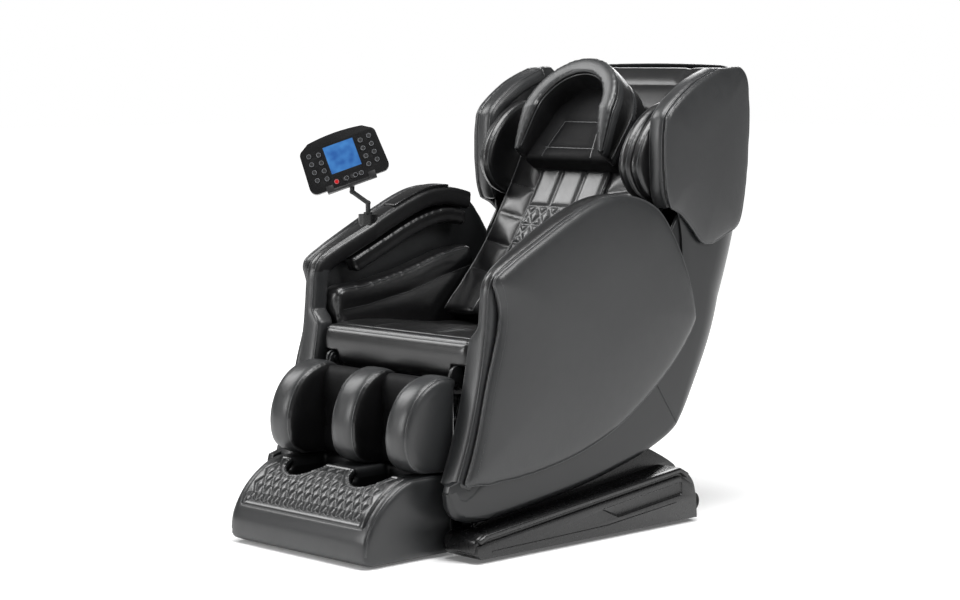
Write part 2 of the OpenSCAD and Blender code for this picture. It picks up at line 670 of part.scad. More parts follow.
module legrest_frame() {
  color("#3a3b3d") difference() {
    union() {
      box([-hinge_x, hinge_x], [leg_plate_y, leg_plate_y + 7], [200, 384]);
      pair() link(leg_p, [leg_plate_y + 12, 366], 14, 10, hinge_x - plate_t, hinge_x);
      // levers worked by the push rod
      pair() slab([[leg_plate_y + 2, 372], [leg_plate_y + 2, 300], [push_y, push_z - 17],
                   [push_y + 14, push_z], [push_y + 4, push_z + 15]], 13, 13 + plate_t);
      // sleeves that the foot box's guide rods run in
      pair() translate([guide_x, guide_y, 206]) cylinder(r = guide_r + 4, h = 110, $fn = 48);
    }
    pair() rod_x(leg_p, legrest_pin_r + run, hinge_x - 20, hinge_x + 5);
    pair() translate([guide_x, guide_y, 190]) cylinder(r = guide_r + run, h = 150, $fn = 48);
    // slot along the lever for the rod's cross pin, wide enough for the rest of the swing
    pair() {
      rod_x([push_y, push_z], 4 + eye_play, 12, 14 + plate_t);
      rod_x([push_y, push_z] - lever_u * 22, 4 + eye_play, 12, 14 + plate_t);
      n = [-lever_u[1], lever_u[0]] * (4 + eye_play);
      a = [push_y, push_z];
      b = a - lever_u * 22;
      slab([a + n, b + n, b - n, a - n], 12, 14 + plate_t);
    }
  }
}
function lobe_line() = concat(
  [[-300, 200], [-300, 384]],
  curve([[-290, 402], [-332, 409], [-378, 394], [-413, 364], [-437, 320], [-445, 271],
         [-434, 226], [-402, 202], [-362, 197]], 4));
module calf_pad() {
  color("#4a4b4d") {
    slab(lobe_line(), lobe_x, leg_x);
    slab([[-300, 200], [-300, 384], [-290, 400], [-318, 398], [-334, 370], [-334, 205]],
         divider_w / 2 + gap, lobe_x + 1);
  }
}
module calf_pad_left() { calf_pad(); }
module calf_pad_right() { right() calf_pad(); }
module calf_divider() {
  color("#4a4b4d") slab([for (p = lobe_line()) [max(p[0], -425), p[1]]], -divider_w / 2, divider_w / 2);
}

/* ---------------- leg rest actuator ---------------- */
module legrest_actuator() {
  color("#2b2c2e") difference() {
    union() {
      translate([0, push_motor_y[1], push_z]) rotate([90, 0, 0])
        cylinder(r = motor_r, h = push_motor_y[1] - push_motor_y[0], $fn = 48);
      translate([32, push_motor_y[1] - 10, push_z]) rotate([90, 0, 0]) cylinder(r = 15, h = 90, $fn = 48);
      box([0, 40], [push_motor_y[1] - 40, push_motor_y[1] - 12], [push_z - 12, push_z + 12]);
    }
    translate([0, push_motor_y[1] - 12, push_z]) rotate([90, 0, 0])
      cylinder(r = rod_r + run, h = 200, $fn = 48);
  }
}
module legrest_actuator_rod() {
  color("silver") {
    translate([0, push_motor_y[1] - 16, push_z]) rotate([90, 0, 0])
      cylinder(r = rod_r, h = push_motor_y[1] - 16 - push_y, $fn = 48);
    rod_x([push_y, push_z], 4, -22, 22);
  }
}

/* ---------------- foot box ---------------- */
quilt_t = 10;
well_w = 134;
well_x = 46;
foot_back = -306;
foot_floor = 8;                    // height of its underside above the floor
quilt_edge = [[-430, 187], [-466, 173], [-506, 146], [-538, 112]];
module foot_box() {
  color("#454648") difference() {
    union() {
      slab(concat([[foot_back, foot_floor], [foot_back, 188], [-418, 188]],
                  beside(curve(quilt_edge, 4), quilt_t + gap),
                  curve([[-548, 102], [-562, 72], [-567, 44], [-565, 18], [-552, foot_floor]], 4)),
           -leg_x, leg_x);
      // cheeks, full height on both sides of the quilting
      pair() slab(concat([[-400, 150], [-418, 188]], curve(quilt_edge, 4), [[-548, 102], [-500, 90]]),
                  leg_x - 24, leg_x);
      // guide rods and their feet
      pair() translate([guide_x, guide_y, 30]) cylinder(r = guide_r, h = 280, $fn = 48);
      pair() box([guide_x - 12, guide_x + 12], [foot_back - 1, guide_y + 9], [24, 64]);
    }
    pair() slab(concat([[foot_back - 16, 200], [foot_back - 16, foot_floor + 16], [-544, foot_floor + 16],
                        [-544, 62], [-524, 92], [-448, 148], [-448, 200]]), well_x, well_x + well_w);
  }
}
module foot_quilt() {
  color("#3d3e40") slab(band(curve(quilt_edge, 4), quilt_t), -leg_x + 24 + gap, leg_x - 24 - gap);
}

/* ---------------- tablet remote and its holder ---------------- */
post = [-(arm_in + 10 + shell_x) / 2, -85, 748];
tablet_az = 46;
tablet_roll = 20;
tablet_lean = 12;
knuckle = [-39, 0, 82];            // tilt hinge, from the foot of the post
elbow_z = [28, 56];                // heights of the stem's two elbows
tablet_at = [-61, -18, 140];       // middle of the tablet, from the foot of the post
module at_post() { translate(post) rotate([0, 0, tablet_az]) children(); }
module at_tablet() {
  at_post() translate(tablet_at) rotate([-tablet_lean, 0, 0]) rotate([0, -tablet_roll, 0]) children();
}
module holder_base() {
  color("#1b1b1d") difference() {
    translate([post[0], post[1], post[2] - 50]) cylinder(r = 24, h = 50, $fn = 48);
    slab(concat(beside(curve(rail_edge, 5), 0.3), [[250, 500], [-268, 500]]), -out_x, 0);
    translate([post[0], post[1], post[2] - 12]) cylinder(r = 5 + run, h = 20, $fn = 48);
  }
}
module holder_stem() {
  color("#1b1b1d") at_post() difference() {
    union() {
      translate([0, 0, -12]) cylinder(r = 5, h = 14, $fn = 48);
      translate([0, 0, 0.1]) cylinder(r = 11, h = 5, $fn = 48);
      cylinder(r = 6, h = elbow_z[0], $fn = 48);
      translate([0, 0, elbow_z[0]]) sphere(r = 7, $fn = 32);
      translate([0, 0, elbow_z[0]]) rotate([0, atan2(knuckle[0], elbow_z[1] - elbow_z[0]), 0])
        cylinder(r = 6, h = norm([knuckle[0], elbow_z[1] - elbow_z[0]]), $fn = 48);
      translate([knuckle[0], 0, elbow_z[1]]) sphere(r = 7, $fn = 32);
      translate([knuckle[0], 0, elbow_z[1]]) cylinder(r = 6, h = knuckle[2] - elbow_z[1], $fn = 48);
      translate(knuckle - [8, 0, 0]) rotate([0, 90, 0]) cylinder(r = 8, h = 16, $fn = 48);
    }
    translate(knuckle - [20, 0, 0]) rotate([0, 90, 0]) cylinder(r = 3 + run, h = 40, $fn = 48);
  }
}
// Arched outline of the tablet, in its own plane
function round_at(c, r, a0, a1) = [for (i = [0 : 6]) c + r * [cos(a0 + (a1 - a0) * i / 6), sin(a0 + (a1 - a0) * i / 6)]];
tablet_rise = 15;                  // arch of its top edge
function tablet_line(grow) =
  let (w = tablet_w / 2 + grow, h = tablet_h / 2 + grow, r = 18, n = h - tablet_rise)
  concat(round_at([-w + r, -h + r], r, 180, 270), round_at([w - r, -h + r], r, 270, 360),
         round_at([w - r - 4, n - r], r, 10, 70),
         [for (i = [-4 : 4]) let (x = -i / 4 * (w - r - 14)) [x, h - tablet_rise * 0.8 * pow(x / w, 2)]],
         round_at([-w + r + 4, n - r], r, 110, 170));
module upright(t) { rotate([90, 0, 0]) linear_extrude(t) children(); }
cradle_t = 4;
module tablet_cradle() {
  color("#1b1b1d") {
    at_tablet() {
      // back plate, bottom lip and two claws
      translate([0, tablet_t / 2 + gap + cradle_t, 0]) upright(cradle_t)
        polygon([[-64, -tablet_h / 2 - 4], [64, -tablet_h / 2 - 4], [34, 20], [-34, 20]]);
      translate([-64, -tablet_t / 2 - gap, -tablet_h / 2 - 7])
        cube([128, tablet_t + 2 * gap + cradle_t, 7 - gap]);
      for (x = [-64, 46]) translate([x, -tablet_t / 2 - gap - 3, -tablet_h / 2 - 7]) cube([18, 3.2, 17]);
    }
    // ears and pin of the tilt hinge
    at_post() for (x = [-15.5, 9.5]) difference() {
      translate(knuckle + [x, 0, 0]) rotate([90, 0, 90]) linear_extrude(6)
        polygon(concat([for (a = [190 : 20 : 370]) 7 * [cos(a), sin(a)]],
                       [[4, 22], [-20, 32], [-20, 12]]));
      at_tablet_local() translate([-100, -50, -100]) cube([200, 50 + tablet_t / 2 + gap + 0.5, 200]);
    }
    at_post() translate(knuckle - [14, 0, 0]) rotate([0, 90, 0]) cylinder(r = 3, h = 28, $fn = 48);
  }
}
module at_tablet_local() {
  translate(tablet_at) rotate([-tablet_lean, 0, 0]) rotate([0, -tablet_roll, 0]) children();
}
screen = [78, 70];
key_pitch = 21;
side_keys = [for (c = [0, 1], r = [0 : 3]) [54 + c * 24, (r - 1.5) * key_pitch - 6 + c * 4]];
low_keys = [for (i = [-1, 0, 1]) [20 * i + 8, -tablet_h / 2 + 14]];
power_at = [-34, -tablet_h / 2 + 14];
module key_at(p) { translate([p[0], 0, p[1]]) children(); }
module tablet_case() {
  color("#2c2d2f") at_tablet() difference() {
    translate([0, tablet_t / 2, 0]) upright(tablet_t) polygon(tablet_line(0));
    translate([-screen[0] / 2, -tablet_t / 2 - 1, -screen[1] / 2 + 4]) cube([screen[0], 3, screen[1]]);
    for (p = side_keys, s = [-1, 1]) key_at([s * p[0], p[1]])
      translate([0, -tablet_t / 2 + 4, 0]) upright(10) circle(r = key_r + 0.3, $fn = 32);
    for (p = low_keys) key_at(p) translate([0, -tablet_t / 2 + 4, 0]) upright(10)
      circle(r = key_r + 0.3, $fn = 32);
    key_at(power_at) translate([0, -tablet_t / 2 + 4, 0]) upright(10)
      circle(r = key_r + 0.3, $fn = 32);
  }
}
module tablet_screen() {
  color("#1d4f9c") at_tablet()
    translate([-screen[0] / 2 + 0.2, -tablet_t / 2 + 0.4, -screen[1] / 2 + 4.2])
      cube([screen[0] - 0.4, 1.6, screen[1] - 0.4]);
}
module key_cap(p) {
  at_tablet() key_at(p) translate([0, -tablet_t / 2 + 2.4, 0]) upright(4.2) circle(r = key_r, $fn = 32);
}
module keys_left() { color("#1b1c1e") for (p = side_keys) key_cap([-p[0], p[1]]); }
module keys_right() { color("#1b1c1e") for (p = side_keys) key_cap(p); }
module keys_lower() { color("#1b1c1e") for (p = low_keys) key_cap(p); }
module power_key() { color("#c01c20") key_cap(power_at); }
// Low wedge on the arm's top, where the remote is parked
dock_edge = [for (i = [15 : 25]) curve(rail_edge, 5)[i] + [0, 0.6]];
module arm_dock() {
  color("#151517") slab(band(dock_edge, 8), -shell_x + 8, -arm_in - 16);
}

base_frame();
base_cover_left();
base_cover_right();
base_rear_cover();
power_inlet();
power_rocker();
rubber_feet();
transport_wheel_left();
transport_wheel_right();
tilt_actuator();
tilt_actuator_rod();
seat_frame();
seat_pad();
seat_apron();
side_skirts();
back_shell();
waist_panels();
arm_panel_left();
arm_panel_right();
arm_front_left();
arm_front_right();
arm_rail_left();
arm_rail_right();
forearm_bags();
arm_pad_left();
arm_pad_right();
wing_panel_left();
wing_panel_right();
wing_rims();
shoulder_bags();
back_frame();
head_lining();
back_pad();
back_overlay();
head_pillow();
massage_carriage();
massage_arm_left();
massage_arm_right();
roller_upper_left();
roller_upper_right();
roller_lower_left();
roller_lower_right();
legrest_frame();
calf_pad_left();
calf_pad_right();
calf_divider();
legrest_actuator();
legrest_actuator_rod();
foot_box();
foot_quilt();
holder_base();
holder_stem();
tablet_cradle();
tablet_case();
tablet_screen();
keys_left();
keys_right();
keys_lower();
power_key();
arm_dock();
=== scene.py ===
import math

import bpy
import numpy as np
from mathutils import Matrix, Vector
from mathutils.kdtree import KDTree


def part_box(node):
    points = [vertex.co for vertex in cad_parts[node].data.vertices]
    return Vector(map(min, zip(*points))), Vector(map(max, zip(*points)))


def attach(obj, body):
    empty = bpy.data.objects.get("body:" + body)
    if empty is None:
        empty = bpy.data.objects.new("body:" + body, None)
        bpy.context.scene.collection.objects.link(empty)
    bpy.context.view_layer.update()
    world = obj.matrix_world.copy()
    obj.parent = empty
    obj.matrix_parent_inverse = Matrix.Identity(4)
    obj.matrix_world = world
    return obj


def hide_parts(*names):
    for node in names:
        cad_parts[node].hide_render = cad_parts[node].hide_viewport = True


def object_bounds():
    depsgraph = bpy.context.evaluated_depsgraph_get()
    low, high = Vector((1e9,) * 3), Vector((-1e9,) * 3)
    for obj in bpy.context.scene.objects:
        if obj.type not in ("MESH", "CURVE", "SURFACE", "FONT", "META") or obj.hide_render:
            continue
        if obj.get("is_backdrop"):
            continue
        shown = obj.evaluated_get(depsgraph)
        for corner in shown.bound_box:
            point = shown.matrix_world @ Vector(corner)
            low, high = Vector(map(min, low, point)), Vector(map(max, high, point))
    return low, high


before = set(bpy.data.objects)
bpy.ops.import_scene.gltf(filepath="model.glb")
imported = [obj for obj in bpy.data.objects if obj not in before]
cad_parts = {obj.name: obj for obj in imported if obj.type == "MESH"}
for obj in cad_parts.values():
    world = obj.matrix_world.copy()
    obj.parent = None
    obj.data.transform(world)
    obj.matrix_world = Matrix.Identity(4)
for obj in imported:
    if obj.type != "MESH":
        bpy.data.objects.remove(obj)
cad_bounds = [list(corner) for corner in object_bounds()]

# ---------------------------------------------------------------- studio
# A pale seamless floor, a white surround and five large soft boxes. The camera
# stands at the chair's front left corner, a little above the armrests.
mm = 0.001
scene = bpy.context.scene
scene.view_settings.view_transform = "Standard"
bpy.ops.object.select_all(action="DESELECT")
bpy.ops.object.camera_add(
    location=(4.151, -4.031, 1.126), rotation=(math.radians(84.3), 0, math.radians(45.7))
)
scene.camera = bpy.context.object
scene.camera.data.lens = 89.7
scene.camera.data.sensor_width = 36


def linear(code):
    """sRGB hex code to linear RGBA."""
    parts = [int(code[i : i + 2], 16) / 255 for i in (1, 3, 5)]
    return [c / 12.92 if c <= 0.04045 else ((c + 0.055) / 1.055) ** 2.4 for c in parts] + [1]


def add(tree, kind, links=None, **settings):
    """One node with its settings, whether sockets or properties, and its incoming links."""
    made = tree.nodes.new(kind)
    for name, value in settings.items():
        socket = made.inputs.get(name.replace("_", " "))
        if socket is None:
            setattr(made, name, value)
        else:
            socket.default_value = value
    for name, (source, output) in (links or {}).items():
        tree.links.new(source.outputs[output], made.inputs[name])
    return made


def blank(name):
    made = bpy.data.materials.new(name)
    made.use_nodes = True
    made.node_tree.nodes.clear()
    return made, made.node_tree


def mixed(tree, factor, a=None, b=None, **links):
    """Two colours mixed by a factor; one of them may come from a link."""
    made = add(tree, "ShaderNodeMix", {"Factor": factor, **links}, data_type="RGBA")
    for name, colour in (("A", a), ("B", b)):
        if colour is not None:
            made.inputs[name].default_value = colour
    return made


def surface(tree, links, **settings):
    """A material's shader, joined to its output."""
    skin = add(tree, "ShaderNodeBsdfPrincipled", links, **settings)
    add(tree, "ShaderNodeOutputMaterial", {"Surface": (skin, "BSDF")})


floor_paint, tree = blank("matt_floor_paint")
grain = add(tree, "ShaderNodeTexNoise", Scale=3, Detail=2)
tone = mixed(tree, (grain, "Fac"), linear("#f7f7f7"), linear("#fbfbfb"))
where = add(tree, "ShaderNodeTexCoord")
wide = add(tree, "ShaderNodeMapping", {"Vector": (where, "Object")}, Scale=(0.22, 0.22, 0.22))
ring = add(tree, "ShaderNodeTexGradient", {"Vector": (wide, "Vector")}, gradient_type="SPHERICAL")
glow = add(tree, "ShaderNodeMapRange", {"Value": (ring, "Fac")},
           From_Min=0.1, From_Max=0.8, To_Min=0.93, To_Max=0.12)
surface(tree, {"Base Color": (tone, "Result"), "Emission Strength": (glow, "Result")},
        Roughness=0.8, Emission_Color=(1, 1, 1, 1), Specular_IOR_Level=0)
bpy.ops.mesh.primitive_plane_add(size=60, location=(0, 0, cad_bounds[0][2] - 0.0005))
floor = bpy.context.object
floor.name = "floor"
floor.data.materials.append(floor_paint)
floor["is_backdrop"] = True

surround = bpy.data.worlds.new("white_surround")
scene.world = surround
surround.use_nodes = True
tree = surround.node_tree
tree.nodes.clear()
seen = add(tree, "ShaderNodeBackground", Color=(1, 1, 1, 1), Strength=1.0)
light = add(tree, "ShaderNodeBackground", Color=(1, 1, 1, 1), Strength=0.16)
ray = add(tree, "ShaderNodeLightPath")
both = add(tree, "ShaderNodeMixShader", {0: (ray, "Is Camera Ray"), 1: (light, 0), 2: (seen, 0)})
add(tree, "ShaderNodeOutputWorld", {"Surface": (both, 0)})


def soft_box(name, place, aim, size, power):
    bpy.ops.object.light_add(type="AREA", location=place)
    box = bpy.context.object
    box.name = name
    box.rotation_euler = (Vector(aim) - Vector(place)).to_track_quat("-Z", "Y").to_euler()
    box.data.size = size
    box.data.energy = power


soft_box("top_box", (0.5, -0.4, 3.2), (0, 0, 0.6), 1.6, 95)
soft_box("upper_right_box", (-2.7, -1.1, 3.1), (0, 0, 0.6), 1.8, 75)
soft_box("front_box", (-1.9, -3.9, 1.7), (0, 0, 0.5), 1.5, 60)
soft_box("side_box", (3.2, 0.7, 3.0), (0, 0, 0.7), 1.3, 85)
soft_box("rear_box", (-2.0, 3.6, 2.8), (0, 0.2, 0.8), 2.0, 70)

# ---------------------------------------------------------------- base covers
# Two gloss-black ABS mouldings that hide the steel base: a low plinth with a
# sloping ledge, and an upper wall that runs up under the chair's skirts. The
# plinth's side is pressed into a lip, a dark channel and a tapered recess.


def smooth_line(points, steps=5):
    """A smooth open line through its points."""
    ps = [np.array(p, float) for p in points]
    at = lambda i: ps[max(0, min(len(ps) - 1, i))]
    line = []
    for i in range(len(ps) - 1):
        a, b, c, d = at(i - 1), at(i), at(i + 1), at(i + 2)
        for k in range(steps):
            t = k / steps
            line.append(
                0.5 * (2 * b + (c - a) * t + (2 * a - 5 * b + 4 * c - d) * t**2
                       + (3 * b - a - 3 * c + d) * t**3)
            )
    return line + [ps[-1]]


def beside(line, d):
    """The line moved sideways by d, to its left as it runs."""
    moved = []
    for i, p in enumerate(line):
        run = np.array(line[min(i + 1, len(line) - 1)]) - np.array(line[max(i - 1, 0)])
        moved.append(np.array(p) + d * np.array([-run[1], run[0]]) / np.linalg.norm(run))
    return moved


def band(line, d):
    """The closed outline of a strip between a line and the same line moved by d."""
    return list(line) + beside(line, d)[::-1]


def activate(piece):
    bpy.ops.object.select_all(action="DESELECT")
    piece.select_set(True)
    bpy.context.view_layer.objects.active = piece


def face_outwards(piece):
    """Turns a closed mesh's faces outwards."""
    activate(piece)
    bpy.ops.object.mode_set(mode="EDIT")
    bpy.ops.mesh.select_all(action="SELECT")
    bpy.ops.mesh.normals_make_consistent(inside=False)
    bpy.ops.object.mode_set(mode="OBJECT")
    return piece


def plate(name, outline, x0, x1):
    """A closed solid from a side outline (Y, Z in mm), pulled out from x0 to x1 (mm)."""
    bpy.ops.object.select_all(action="DESELECT")
    bpy.ops.mesh.primitive_circle_add(vertices=len(outline), radius=1, fill_type="NGON")
    piece = bpy.context.object
    piece.name = piece.data.name = name
    for vertex, (y, z) in zip(piece.data.vertices, outline):
        vertex.co = (x0 * mm, y * mm, z * mm)
    bpy.ops.object.mode_set(mode="EDIT")
    bpy.ops.mesh.select_all(action="SELECT")
    bpy.ops.mesh.extrude_region_move(TRANSFORM_OT_translate={"value": ((x1 - x0) * mm, 0, 0)})
    bpy.ops.object.mode_set(mode="OBJECT")
    return face_outwards(piece)


def apply(piece, kind, **settings):
    """Adds a modifier with its settings and applies it."""
    activate(piece)
    made = piece.modifiers.new(kind.lower(), kind)
    for name, value in settings.items():
        setattr(made, name, value)
    bpy.ops.object.modifier_apply(modifier=made.name)


def cut(piece, tool):
    """Cuts a solid's shape out of a piece and throws the solid away."""
    apply(piece, "BOOLEAN", operation="DIFFERENCE", object=tool, solver="EXACT")
    bpy.data.objects.remove(tool)


def round_edges(piece, width, segments=3):
    apply(piece, "BEVEL", width=width * mm, segments=segments, limit_method="ANGLE",
          angle_limit=math.radians(28), miter_outer="MITER_ARC")
    activate(piece)
    bpy.ops.object.shade_smooth_by_angle(angle=math.radians(32))


def opposite(piece, name):
    """The same piece for the other side of the chair, with its own mesh."""
    activate(piece)
    bpy.ops.object.duplicate()
    made = bpy.context.object
    made.name = made.data.name = name
    made.data.transform(Matrix.Scale(-1, 4, (1, 0, 0)))
    made.data.flip_normals()
    return made


def joined(name, *parts):
    """Several meshes made one."""
    bpy.ops.object.select_all(action="DESELECT")
    for part in parts:
        part.select_set(True)
    bpy.context.view_layer.objects.active = parts[0]
    bpy.ops.object.join()
    parts[0].name = parts[0].data.name = name
    return parts[0]


def fit(piece, body, slot, finish=None, *nodes, fill=None):
    """Gives a piece its finish and puts it on its body in place of its CAD nodes."""
    if not piece.data.materials:
        piece.data.materials.append(finish)
    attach(piece, body)
    if nodes:
        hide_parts(*nodes)
    return piece


def noise(tree, scale, detail=2, **settings):
    """Noise over the object's own coordinates."""
    where = add(tree, "ShaderNodeTexCoord")
    return add(tree, "ShaderNodeTexNoise", {"Vector": (where, "Object")},
               Scale=scale, Detail=detail, **settings)


def between(tree, source, low, high):
    """A noise brought between two values."""
    return add(tree, "ShaderNodeMapRange", {"Value": (source, "Fac")}, To_Min=low, To_Max=high)


def relief(tree, source, strength, height, **links):
    """A bump from a texture's output, height in mm."""
    return add(tree, "ShaderNodeBump", {"Height": source, **links},
               Strength=strength, Distance=height * mm)


def shades(code, dark, light):
    """A darker and a lighter shade of one colour."""
    return [[c * share for c in linear(code)[:3]] + [1] for share in (dark, light)]


# Injection-moulded ABS, gloss black: a mirror-like skin over a faint flow
# waviness, with fine hairline scuffs that only show as uneven gloss.
gloss_abs, tree = blank("moulded_gloss_abs")
wave, scuff = noise(tree, 14, 3), noise(tree, 40)
surface(tree, {"Roughness": (between(tree, scuff, 0.22, 0.32), "Result"),
               "Normal": (relief(tree, (wave, "Fac"), 0.03, 4), "Normal")},
        Base_Color=linear("#0d0d0e"), IOR=1.53)

ledge = [(-318, 66), (345, 140)]
toe = [(-333, 10), (-347, 22)]
nose = toe + smooth_line([(-347, 36), (-342, 56), ledge[0]], 4)
tail = smooth_line([ledge[1], (380, 122), (404, 96), (414, 60)], 4) + [(417, 10)]
core = plate("core", nose + tail, 256, 361)
lip_line = [(-341, 54), ledge[0], ledge[1], (378, 122)]
lip = plate("lip", band(lip_line, -13), 262, 368)
channel = 20  # from the ledge's line down to the side's upper edge
side_top = [(-345, 40)] + [(y, z - channel) for y, z in ledge] + [(392, 92), (404, 60)]
side = plate("side", toe + side_top + [(407, 10)], 300, 368)
recess = plate("recess", [(60, 74), (350, 106), (352, 72), (120, 47)], 363, 380)
round_edges(recess, 6)
cut(side, recess)
slat_line = [(-300, 22), (80, 29), (330, 52), (330, 57), (80, 34), (-300, 27)]
slat = plate("slat", slat_line, 366, 369.5)
hump_line = smooth_line([(-300, 60), (-240, 92), (0, 118), (150, 150), (262, 192), (300, 186),
                         (400, 133), (408, 100)], 4)
hump = plate("hump", [(-300, 66)] + hump_line[1:] + [(345, 132)], 286, 298)
for part, radius in ((core, 5), (lip, 4), (side, 4), (slat, 1), (hump, 3)):
    round_edges(part, radius)
cover_left = joined("base_cover_left_moulding", core, lip, side, slat, hump)
cover_right = opposite(cover_left, "base_cover_right_moulding")
fit(cover_left, "base", "base_plastic", gloss_abs, "base_cover_left")
fit(cover_right, "base", "base_plastic", gloss_abs, "base_cover_right")

# ---------------------------------------------------------------- rear cover, inlet, feet
# Flat ABS closing plate between the covers, with the mains inlet and its rocker
# switch snapped in. Turned rubber feet stand under the frame.


def refine(node, radius, body, slot, finish, segments=2):
    """Fits a copy of a CAD node's mesh, with its sharp edges rounded, in the node's place."""
    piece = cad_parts[node].copy()
    piece.data = piece.data.copy()
    piece.name = piece.data.name = f"{node}_moulding"
    piece.parent = None
    for key in list(piece.keys()):
        del piece[key]
    scene.collection.objects.link(piece)
    piece.hide_render = piece.hide_viewport = False
    piece.data.materials.clear()
    activate(piece)
    bpy.ops.object.mode_set(mode="EDIT")
    bpy.ops.mesh.select_all(action="SELECT")
    bpy.ops.mesh.remove_doubles(threshold=0.00001)
    bpy.ops.mesh.customdata_custom_splitnormals_clear()
    bpy.ops.mesh.dissolve_limited(angle_limit=math.radians(0.5))
    bpy.ops.object.mode_set(mode="OBJECT")
    round_edges(piece, radius, segments)
    fit(piece, body, slot, finish, node)


def moulded(name, code, rough, height, scale):
    """A moulded plastic or rubber: one pigment, a spark-eroded texture and uneven gloss."""
    made, tree = blank(name)
    pits, drift = noise(tree, scale, 3), noise(tree, 9)
    gloss = between(tree, drift, rough - 0.06, rough + 0.06)
    tone = mixed(tree, (drift, "Fac"), *shades(code, 0.86, 1.14))
    bump = relief(tree, (pits, "Fac"), 0.25, height)
    surface(tree, {"Base Color": (tone, "Result"), "Roughness": (gloss, "Result"),
                   "Normal": (bump, "Normal")}, IOR=1.5)
    return made


textured_abs = moulded("spark_textured_abs", "#161617", 0.45, 0.2, 900)
rubber = moulded("moulded_rubber", "#151514", 0.72, 0.4, 500)
red_abs = moulded("moulded_red_abs", "#a80d12", 0.3, 0.05, 700)
refine("base_rear_cover", 1.6, "base", "base_plastic", textured_abs)
refine("power_inlet", 0.5, "base", "base_plastic", textured_abs)


def dress(finish, *nodes):
    """Puts a finish on CAD nodes whose shape is already right."""
    for name in nodes:
        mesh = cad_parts[name].data
        mesh.materials.clear()
        mesh.materials.append(finish)


dress(red_abs, "power_rocker")
dress(rubber, "rubber_feet", "transport_wheel_left", "transport_wheel_right")

# ---------------------------------------------------------------- steelwork
# Welded frames in black powder coat, zinc-plated rods and pins, and the cast
# aluminium massage carriage. They keep the shape of the working model.


def coated(name, code, metallic, rough, scale, height):
    """A coated or cast metal surface with its own orange-peel or casting grain."""
    made, tree = blank(name)
    peel = noise(tree, scale)
    gloss = between(tree, peel, rough - 0.08, rough + 0.08)
    bump = relief(tree, (peel, "Fac"), 0.3, height)
    surface(tree, {"Roughness": (gloss, "Result"), "Normal": (bump, "Normal")},
            Base_Color=linear(code), Metallic=metallic)
    return made


powder_coat = coated("black_powder_coat", "#1b1c1d", 0.0, 0.42, 420, 0.3)
zinc = coated("bright_zinc_plate", "#b9bcc0", 1.0, 0.28, 160, 0.05)
cast_alloy = coated("sand_cast_aluminium", "#9a9c9e", 1.0, 0.48, 600, 0.4)
nylon = moulded("moulded_blue_nylon", "#1f4a68", 0.4, 0.1, 600)
urethane = moulded("cast_polyurethane", "#3a3b3d", 0.5, 0.2, 500)
dress(powder_coat, "base_frame", "seat_frame", "back_frame", "legrest_frame", "tilt_actuator",
      "legrest_actuator")
dress(zinc, "tilt_actuator_rod", "legrest_actuator_rod")
dress(cast_alloy, "massage_carriage")
dress(nylon, "massage_arm_left", "massage_arm_right")
dress(urethane, "roller_upper_left", "roller_upper_right", "roller_lower_left",
      "roller_lower_right")

# ---------------------------------------------------------------- skirts and back shell
# Satin dark-grey ABS shells in automotive soft-touch lacquer: a skirt under each
# arm and one deep channel moulding that sweeps up the back, screwed to the frame.
satin_shell, tree = blank("soft_touch_lacquer")
peel, drift = noise(tree, 320), noise(tree, 5, 3)
surface(tree, {"Roughness": (between(tree, drift, 0.3, 0.38), "Result"),
               "Normal": (relief(tree, (peel, "Fac"), 0.12, 0.6), "Normal")},
        Base_Color=linear("#1b1c1d"), IOR=1.5)

shell_half, shell_corner, shell_crown = 320, 118, 8
bend_angles = [math.radians(a) for a in range(0, 91, 6)]
sweep = smooth_line([(-392, 160), (-380, 122), (-344, 92), (-267, 81), (-112, 96), (57, 122),
                     (184, 150), (290, 180), (392, 228), (478, 317), (572, 452), (634, 596),
                     (679, 749), (697, 900), (692, 1030), (656, 1118)], 8)
inward_at = [b - a for a, b in zip(sweep, beside(sweep, 1))]
join_at = 8 * 8
skirt_low, back_line = sweep[: join_at + 1], sweep[join_at:]


def swept(name, line, aims, sections, thick):
    """A moulding whose section (across, inward) changes along a side-view line, in mm."""
    rows, count = len(line), len(sections[0])
    bpy.ops.object.select_all(action="DESELECT")
    bpy.ops.mesh.primitive_grid_add(x_subdivisions=count - 1, y_subdivisions=rows - 1, size=1)
    piece = bpy.context.object
    piece.name = piece.data.name = name
    for i, aim in enumerate(aims):
        for j, (x, d) in enumerate(sections[i]):
            y, z = line[i] + aim * d
            piece.data.vertices[i * count + j].co = (x * mm, y * mm, z * mm)
    piece.data.update()
    middle = piece.data.polygons[(rows // 2) * (count - 1) + count * 2 // 3]
    inward = aims[rows // 2]
    if middle.normal.y * inward[0] + middle.normal.z * inward[1] > 0:
        piece.data.flip_normals()
    apply(piece, "SOLIDIFY", thickness=thick * mm, offset=-1)
    round_edges(piece, 1.6, 2)
    return piece


def walls(depth, r):
    """One side of a section: the wall down to its rounded lower corner."""
    wall = [(shell_half, depth - (depth - r) * t) for t in (0, 0.25, 0.5, 0.75)]
    return wall + [(shell_half - r + r * math.cos(a), r - r * math.sin(a)) for a in bend_angles]


def along(values, count, steps=8):
    """A smooth run of one value down the rings, from its value at each of the line's points."""
    run = smooth_line([(k * steps, v) for k, v in enumerate(values)], steps)
    return [p[1] for p in run][:count]


def both_sides(piece, body, slot, finish=None, *nodes, fill=None):
    """Fits a piece and its opposite number, in place of the CAD nodes of both sides."""
    other = opposite(piece, piece.name.replace("left", "right"))
    fit(piece, body, slot, finish, *nodes, fill=fill)
    fit(other, body, slot, finish, fill=fill)


